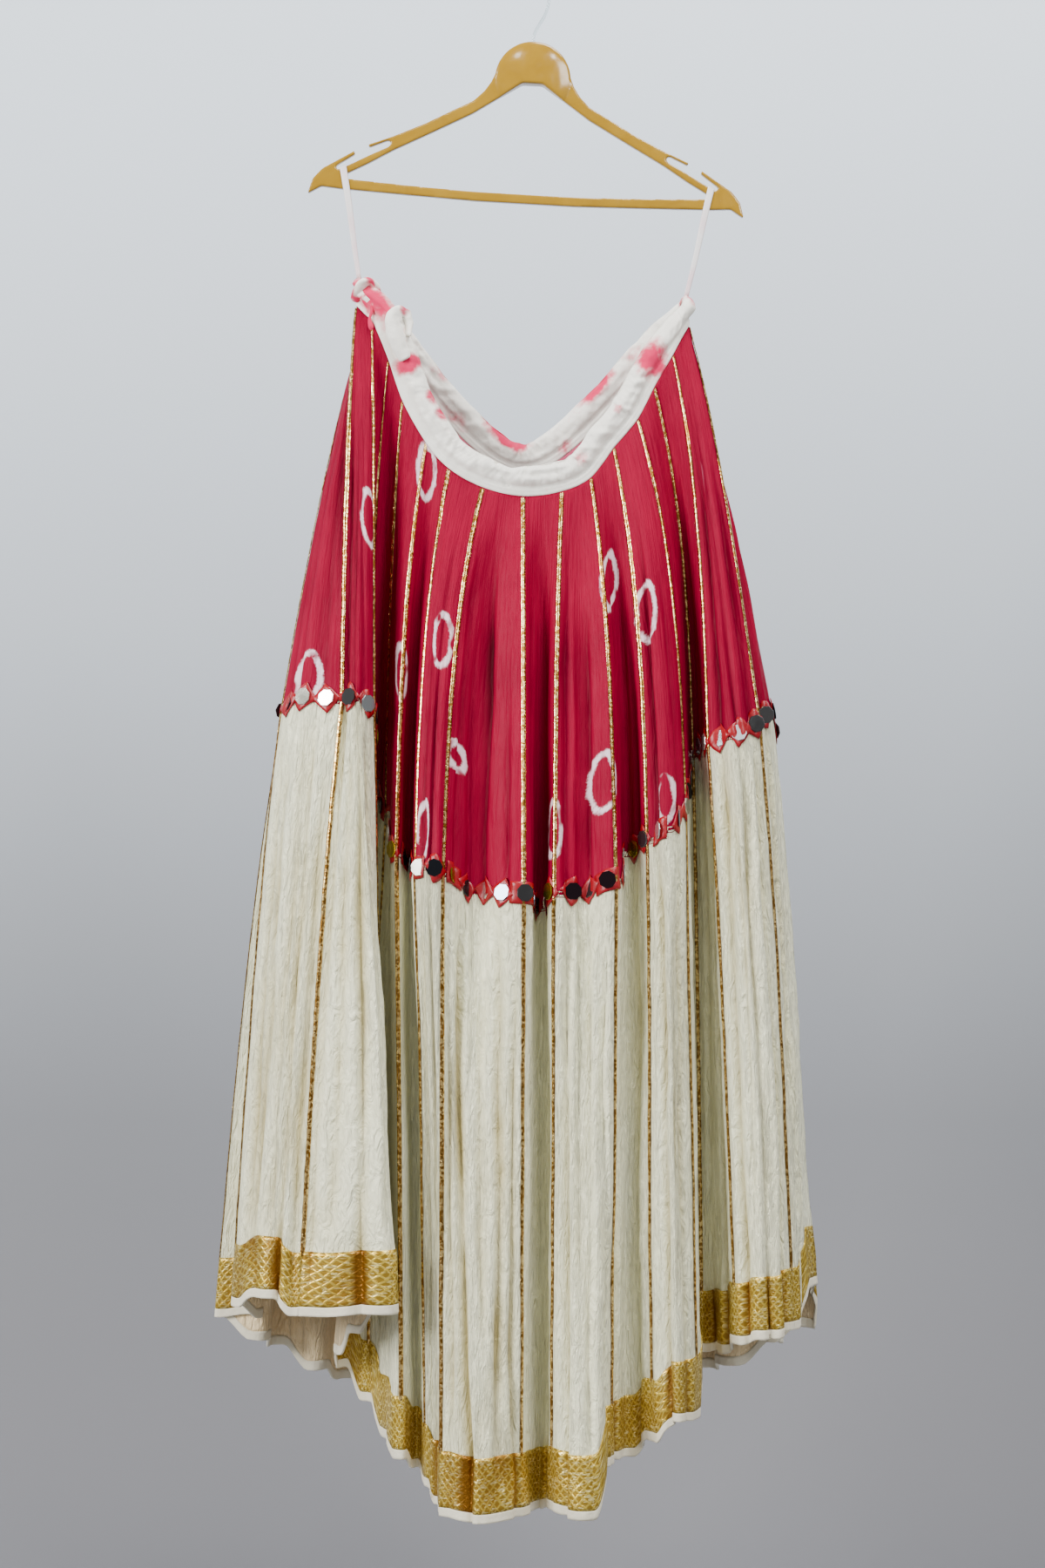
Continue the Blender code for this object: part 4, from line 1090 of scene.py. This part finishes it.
# The seams of the rolled up grid are merged, and its faces turned outwards.
rolled = bmesh.new()
rolled.from_mesh(waistband.data)
bmesh.ops.remove_doubles(rolled, verts=rolled.verts[:], dist=0.01 * MM)
bmesh.ops.recalc_face_normals(rolled, faces=rolled.faces[:])
if rolled.calc_volume(signed=True) < 0:
    bmesh.ops.reverse_faces(rolled, faces=rolled.faces[:])
rolled.to_mesh(waistband.data)
rolled.free()
tell_faces("waistband:", waistband)

# %% [markdown]
# ## Knot and spare end
# At the left end the casing is twisted and knotted round the hanging loop, and a short spare end of it stands
# up beside the knot with its own little loop of drawstring. These are soft tubes that are swept along a short
# path, squashed and then roughened by the same noise.

# %% Sweeping a tube
def smooth_path(knots, steps):
    """A smooth line through a few points, with this many steps between each pair."""
    knots = [Vector(knot) for knot in knots]
    ends = [2 * knots[0] - knots[1]] + knots + [2 * knots[-1] - knots[-2]]
    line = []
    for a, b, c, d in zip(ends, ends[1:], ends[2:], ends[3:]):
        for t in np.arange(steps) / steps:
            line.append(0.5 * ((2 * b) + (c - a) * t + (2 * a - 5 * b + 4 * c - d) * t * t
                               + (3 * b - a - 3 * c + d) * t * t * t))
    return line + [knots[-1]]


def sweep(name, path, radii, material, sides=12, flatness=1.0, twist=0.0, rough=0.0, seed=1):
    """A tube extruded ring by ring along a path. Radii is one size for each point of the path."""
    tube = bmesh.new()
    mark = tube.verts.layers.int.new("side")
    ring = bmesh.ops.create_circle(tube, segments=sides, radius=1)["verts"]
    for index, vert in enumerate(ring):
        vert[mark] = index
    edges = tube.edges[:]
    normal = Vector((0, -1, 0))
    for index, point in enumerate(path):
        ahead = (path[min(index + 1, len(path) - 1)] - path[max(index - 1, 0)]).normalized()
        normal = (normal - ahead * normal.dot(ahead)).normalized()
        other = ahead.cross(normal)
        if index:
            made = bmesh.ops.extrude_edge_only(tube, edges=edges)
            ring = only_verts(made)
            edges = [thing for thing in made["geom"] if isinstance(thing, bmesh.types.BMEdge)
                     and all(vert in ring for vert in thing.verts)]
        for vert in ring:
            angle = 2 * math.pi * vert[mark] / sides
            dent = noise(np.array(vert[mark] * 1.3), np.array(index / 2.5), seed)
            size = radii[index] * (1 + rough * float(dent))
            spun = Matrix.Rotation(twist * index, 2) @ Vector((math.cos(angle) * flatness, math.sin(angle)))
            vert.co = point + (normal * spun.x + other * spun.y) * size
    bmesh.ops.holes_fill(tube, edges=[edge for edge in tube.edges if edge.is_boundary], sides=sides)
    bmesh.ops.recalc_face_normals(tube, faces=tube.faces[:])
    piece = show(name, finished(name, tube), material)
    fine = piece.modifiers.new("round", "SUBSURF")
    fine.levels = fine.render_levels = 1
    return piece


# %% Knot, spare end and drawstring
def cotton_tube(name, knots, shares, sizes, **form):
    """A tube of the band's cotton through points in mm, with a radius in mm at these shares of its length."""
    path = smooth_path([Vector(knot) * MM for knot in knots], 6)
    return sweep(name, path, np.interp(np.linspace(0, 1, len(path)), shares, sizes) * MM, cotton, **form)


KNOT = numbers(3, """
    -181  -3 -352   -175 -12 -338   -165  -9 -333   -158   0 -343   -163   8 -356
    -173   6 -352   -176  -6 -344   -168 -12 -349   -158 -10 -362
""")
SPARE_END = numbers(3, """
    -128 -30 -414   -134 -30 -402   -139 -29 -388   -141 -27 -375
    -135 -24 -366   -128 -22 -368   -125 -22 -378   -127 -24 -390
""")
STRING = numbers(3, "-165 -14 -352   -163 -17 -362   -165 -18 -372   -163 -18 -383")
SPARE_DYED, SPARE_DYED_REACH = (-0.130, -0.022, -0.363), 10 * MM

knot = cotton_tube("casing_knot", KNOT, [0, 0.15, 0.6, 1], [4.5, 7, 6.5, 4],
                   sides=14, flatness=0.62, twist=0.12, rough=0.22, seed=3)
x, _, z = coordinates(knot.data).T
keep("dye", knot.data, np.clip(0.75 - np.abs(noise(x / 0.011, z / 0.009, 91)) * 1.6, 0, 0.8))

spare_end = cotton_tube("casing_spare_end", SPARE_END, [0, 0.3, 0.55, 0.8, 1], [6, 10.5, 8, 4.2, 5],
                        sides=14, flatness=0.55, twist=0.03, rough=0.24, seed=9)
away = np.linalg.norm(coordinates(spare_end.data) - np.array(SPARE_DYED), axis=1)
keep("dye", spare_end.data, np.clip(1.0 - away / SPARE_DYED_REACH, 0, 0.55))

string = cotton_tube("drawstring_end", STRING, [0, 0.6, 0.9, 1], [1.8, 1.6, 3.0, 1.2],
                     sides=10, flatness=0.8, rough=0.15, seed=5)
keep("dye", string.data, np.full(len(string.data.vertices), 0.8))
tell_faces("knot:", knot)

# %% [markdown]
# ## Hanging loops
# Two loops of narrow satin ribbon are sewn in at the ends of the band and lie over the rails of the hanger's
# strap slots. Each is one strip that goes up the front, over the rail and down the back.

# %% The hanger's own plane
HANGER_TURN = Matrix.Rotation(math.radians(3.3), 3, "Y")
HANGER_MIDDLE = Vector((-0.001, 0, -0.1276))
HANGER_THICKNESS = 9 * MM
RAIL_SLOPE, RAIL_END = 0.548, (0.190, -0.1019)
LOOP_WIDTH, LOOP_REACH, LOOP_ARCH = 7 * MM, 0.186, 0.35 * MM
LOOP_COLUMNS, LOOP_STEPS, BEND_POINTS = 7, 8, 7
LOOP_TUCK, RAIL_CLEAR, RAIL_LIFT = 1 * MM, 0.5 * MM, 0.6 * MM
LOOP_FOOT = 0.62               # width at the band, as a share of that at the rail
LOOP_SWAY, RIBBON_THICKNESS = 0.7 * MM, 0.5 * MM
# Shares of the way up from the band to the rail, and of the way out to the rail's side.
LOOP_LEG = [(0, 0.08), (0.4, 0.55), (0.78, 1.0), (0.93, 1.0)]


def on_hanger(reach, height):
    """A point given in the hanger's own plane, turned with its tilt."""
    return HANGER_MIDDLE + HANGER_TURN @ Vector((reach, 0, height))


def make_loop(name, side):
    """A ribbon loop as a grid: columns across the ribbon, rows along it."""
    middle, across, _ = band_path(np.array([0.0 if side < 0 else SIDE_SEAM]))
    foot = Vector(middle[0] + across[0] * (BAND_WIDTH / 2 - LOOP_TUCK))
    foot.y = 0
    top = on_hanger(side * LOOP_REACH, RAIL_END[1] + (RAIL_END[0] - LOOP_REACH) * RAIL_SLOPE)
    across_top = (on_hanger(1.0, -side * RAIL_SLOPE) - on_hanger(0, 0)).normalized()
    up = Vector((-across_top.z, 0, across_top.x))
    half = HANGER_THICKNESS / 2 + RAIL_CLEAR
    across_foot = Vector((1, 0, 0))
    legs = [[(foot.lerp(top, share) + Vector((0, sign * half * out, 0)), across_foot.lerp(across_top, share))
             for share, out in LOOP_LEG] for sign in (-1, 1)]
    over = []
    for angle in np.linspace(0, math.pi, BEND_POINTS):
        corner = max(abs(math.cos(angle)), math.sin(angle))
        over.append((top + Vector((0, -half * math.cos(angle) / corner, 0))
                     + up * (RAIL_LIFT * math.sin(angle) / corner), across_top))
    line, ways = zip(*legs[0], *over, *reversed(legs[1]))
    fine = smooth_path(line, LOOP_STEPS)
    strip = np.linspace(-1, 1, LOOP_COLUMNS)
    points = np.zeros((len(fine), LOOP_COLUMNS, 3))
    for index, point in enumerate(fine):
        station, step = divmod(index, LOOP_STEPS)
        way = ways[station].lerp(ways[min(station + 1, len(ways) - 1)], step / LOOP_STEPS).normalized()
        rise = min(1, max(0, (point.z - foot.z) / (top.z - foot.z)))
        half_width = (LOOP_FOOT + (1 - LOOP_FOOT) * rise) * LOOP_WIDTH / 2
        sway = LOOP_SWAY * math.sin(rise * math.pi) * math.sin(3 * rise + side)
        points[index] = np.array(point) + np.outer(strip * half_width + sway, way)
        points[index, :, 1] += math.copysign(LOOP_ARCH, point.y) * (1 - strip ** 2)
    return thicken(lay(name, strip, np.arange(len(fine)), points, ribbon), RIBBON_THICKNESS)


# %% Ribbon and the loops
ribbon, tree, shader = new_material("white satin ribbon", Roughness=0.4, Sheen_Weight=0.2)
place = object_place(tree)
blush = span(tree, cloudy(tree, place, 24.0, 1.0), 0.5, 0.75)
dress(shader, Base_Color=blend(tree, blush, "F4F0EF", "F0C9D2"),
      Normal=bump(tree, cloudy(tree, place, 800.0), 0.2, 0.0005))
loop_left = make_loop("ribbon_loop_left", -1)
loop_right = make_loop("ribbon_loop_right", 1)
tell_faces("loops:", loop_left, loop_right)

# %% [markdown]
# ## Hanger and hook
# The hanger is injection moulded polystyrene, so its corners are rounded and its crown is a shallow dome that
# catches the lights. Its outline is drawn once as edges, filled, extruded and then remeshed and smoothed,
# which rounds every corner at the same time. The clear hook is a wire of acrylic, swept along its path.

# %% The hanger's outline
CROWN_RADIUS = 38.5 * MM
DOME_RISE, DOME_FULLNESS = 1.1, 0.8
# In mm across and up from the crown's middle: the right arm below the crown, and the right half of its hole.
ARM = numbers(2, """
    42 -5   48 -14   59 -25   76 -34   105 -50   137 -65   162 -75   161.5 -78   142 -69.5   139.5 -71
    139.5 -74   142 -76.5   161 -86   190 -101.9   192.8 -101   193.3 -98.2   174.5 -85.3   175.5 -82
    194 -93.5   207 -101.5   216 -112   221 -128   207 -119.5   188 -121   118 -123.5   50 -125.6
""")
HOLE = numbers(2, "10 -5  59 -38  100 -60  137 -79.5  161 -94  185 -107  186 -110.5  118 -114  50 -116.5")
crown = [(CROWN_RADIUS / MM * math.cos(angle), CROWN_RADIUS / MM * math.sin(angle))
         for angle in np.radians(np.arange(85, 0, -10))]
outline = bmesh.new()
rings = []
for half in (crown + ARM, HOLE):
    whole = half + [(-x, z) for x, z in reversed(half)]
    verts = [outline.verts.new((x * MM, -HANGER_THICKNESS / 2, z * MM)) for x, z in whole]
    rings += [outline.edges.new(pair) for pair in zip(verts, verts[1:] + verts[:1])]
bmesh.ops.triangle_fill(outline, edges=rings, use_beauty=True, use_dissolve=False)
back = only_verts(bmesh.ops.extrude_face_region(outline, geom=outline.faces[:]))
bmesh.ops.translate(outline, verts=back, vec=(0, HANGER_THICKNESS, 0))
bmesh.ops.recalc_face_normals(outline, faces=outline.faces[:])
sharp_hanger = show("sharp_hanger", finished("sharp_hanger", outline))
even = sharp_hanger.modifiers.new("even", "REMESH")
even.mode = "VOXEL"
even.voxel_size = 1.1 * MM
rounded = sharp_hanger.modifiers.new("round", "SMOOTH")
rounded.iterations = 11
rounded.factor = 0.5
bpy.context.view_layer.update()
moulded = bpy.data.meshes.new_from_object(sharp_hanger.evaluated_get(bpy.context.evaluated_depsgraph_get()))
bpy.data.objects.remove(sharp_hanger, do_unlink=True)
# The crown bulges into a shallow dome on both sides.
shape = coordinates(moulded)
dome = np.clip(1 - (np.hypot(shape[:, 0], shape[:, 2]) / CROWN_RADIUS) ** 2, 0, 1)
shape[:, 1] *= 1 + DOME_RISE * dome ** DOME_FULLNESS
moulded.vertices.foreach_set("co", shape.ravel())
moulded.transform(Matrix.Translation(HANGER_MIDDLE) @ HANGER_TURN.to_4x4())
moulded.shade_smooth()

# Injection moulded polystyrene: a hard gloss, faint swirls where the melt flowed, a few scuffs.
plastic, tree, shader = new_material("moulded polystyrene, honey gold", Coat_Weight=0.4, Coat_Roughness=0.08)
place = object_place(tree)
swirl = cloudy(tree, place, 22.0, 3.0, 1.5)
dress(shader, Base_Color=blend(tree, swirl, "8F6A0C", "AC851E"),
      Roughness=span(tree, cloudy(tree, place, 140.0, 4.0), 0.45, 0.8, to=(0.13, 0.3)),
      Normal=bump(tree, swirl, 0.08, 0.002))
hanger = show("moulded_hanger", moulded, plastic)
tell_faces("hanger:", hanger)

# %% The clear hook
HOOK_WIRE, HOOK_INSIDE = 3.2 * MM, 20 * MM
HOOK_BEND = (-35, 200, 17)     # degrees from and to, and how many points
HOOK_STEM = [(0, -4), (0, 6), (4, 15), (13, 31)]         # mm aside and up from the crown's top
crown_top = HANGER_MIDDLE.z + CROWN_RADIUS
hook_knots = [Vector((x * MM, 0, crown_top + up * MM)) for x, up in HOOK_STEM]
radius = HOOK_INSIDE + HOOK_WIRE / 2
for angle in np.radians(np.linspace(*HOOK_BEND)):
    hook_knots.append(Vector((radius * math.cos(angle), 0, radius * math.sin(angle) - HOOK_INSIDE)))
hook_path = smooth_path(hook_knots, 4)
# Clear acrylic rod: its index of refraction is 1.49.
acrylic, tree, shader = new_material("clear acrylic rod", Roughness=0.06, IOR=1.49, Transmission_Weight=0.9)
dress(shader, Base_Color=blend(tree, cloudy(tree, object_place(tree), 90.0), "E4EEF0", "F4FAFA"))
hook = sweep("clear_hook", hook_path, [HOOK_WIRE / 2] * len(hook_path), acrylic)
tell_faces("hook:", hook)

# %% [markdown]
# ## Riding and standing in
# Every piece rides on the one body of the skirt and its hanger, and stands in for the plain solids it
# replaces.

# %% Rides and nodes
def kalis(layer, first, last):
    """Names of the plain gores of a tier."""
    return [f"kali_{layer}_{number:02d}" for number in range(first, last + 1)]


#     piece, the nodes it stands for, the record's material slot
PIECES = [
    (upper_front, kalis("upper", 1, 14), "magenta_silk"),
    (upper_back, kalis("upper", 15, 26), "magenta_silk"),
    (lower_left, kalis("lower", 1, 7), "cream_crushed_silk"),
    (lower_right, kalis("lower", 8, 14), "cream_crushed_silk"),
    (lower_back, kalis("lower", 15, 26), "cream_crushed_silk"),
    (piping_front, [], None), (piping_back, [], None),
    (mirror_squares, ["mirror_trim"], "mirror_trim"), (mirror_tiles, [], "mirror_trim"),
    (border_front, ["zari_border"], "zari_brocade"), (border_back, [], "zari_brocade"),
    (hem_front, ["hem_facing"], "white_cotton"), (hem_back, [], "white_cotton"),
    (waistband, ["waistband"], "tie_dyed_cotton"), (knot, [], "tie_dyed_cotton"),
    (spare_end, [], "tie_dyed_cotton"), (string, [], "tie_dyed_cotton"),
    (loop_left, ["hanging_loop_left"], "ribbon"), (loop_right, ["hanging_loop_right"], "ribbon"),
    (hanger, ["hanger"], "moulded_plastic"), (hook, ["hanger_hook"], "clear_plastic"),
]
for piece, nodes, slot_name in PIECES:
    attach(piece, "root")
    if nodes:
        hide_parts(*nodes)

# %% [markdown]
# ## What the cloth was cut from
# A tier's stretch of gores, laid flat side by side, is a wide trapezium: as long as the tier, as wide as its
# lower edge, and narrower at the top. For each cloth piece the widest width, the length and the area as it
# hangs are printed. The casing is a strip folded in two along its length.

# %% Sheets
def cut_size(first, last, start, end):
    """Widest and mean width of the cloth between two places, its length and its area as it hangs."""
    shape = cloth(evenly(first, last, MEASURED_COLUMNS), np.linspace(start, end, MEASURED_ROWS))
    down, across = np.diff(shape, axis=0)[:, :-1], np.diff(shape, axis=1)
    widths = np.linalg.norm(across, axis=2).sum(axis=1)
    area = np.linalg.norm(np.cross(down, across[:-1]), axis=2).sum()
    return float(widths.max()), float(widths.mean()), float(end - start), float(area)


#     piece, what it hangs from, what is sewn on it
SHEETS = [
    (upper_front, waistband, [piping_front, mirror_squares, mirror_tiles]),
    (upper_back, waistband, [piping_back]),
    (lower_left, upper_front, []), (lower_right, upper_front, []), (lower_back, upper_back, []),
    (border_front, lower_left, []), (border_back, lower_back, []),
    (hem_front, lower_left, []), (hem_back, lower_back, []),
]
for piece, above, sewn_on in SHEETS:
    widest, mean, length, area = cut_size(*COVERS[piece.name])
    print(piece.name, "was cut", round(widest, 3), "by", round(length, 3), "m, is now", round(area, 4), "m2")
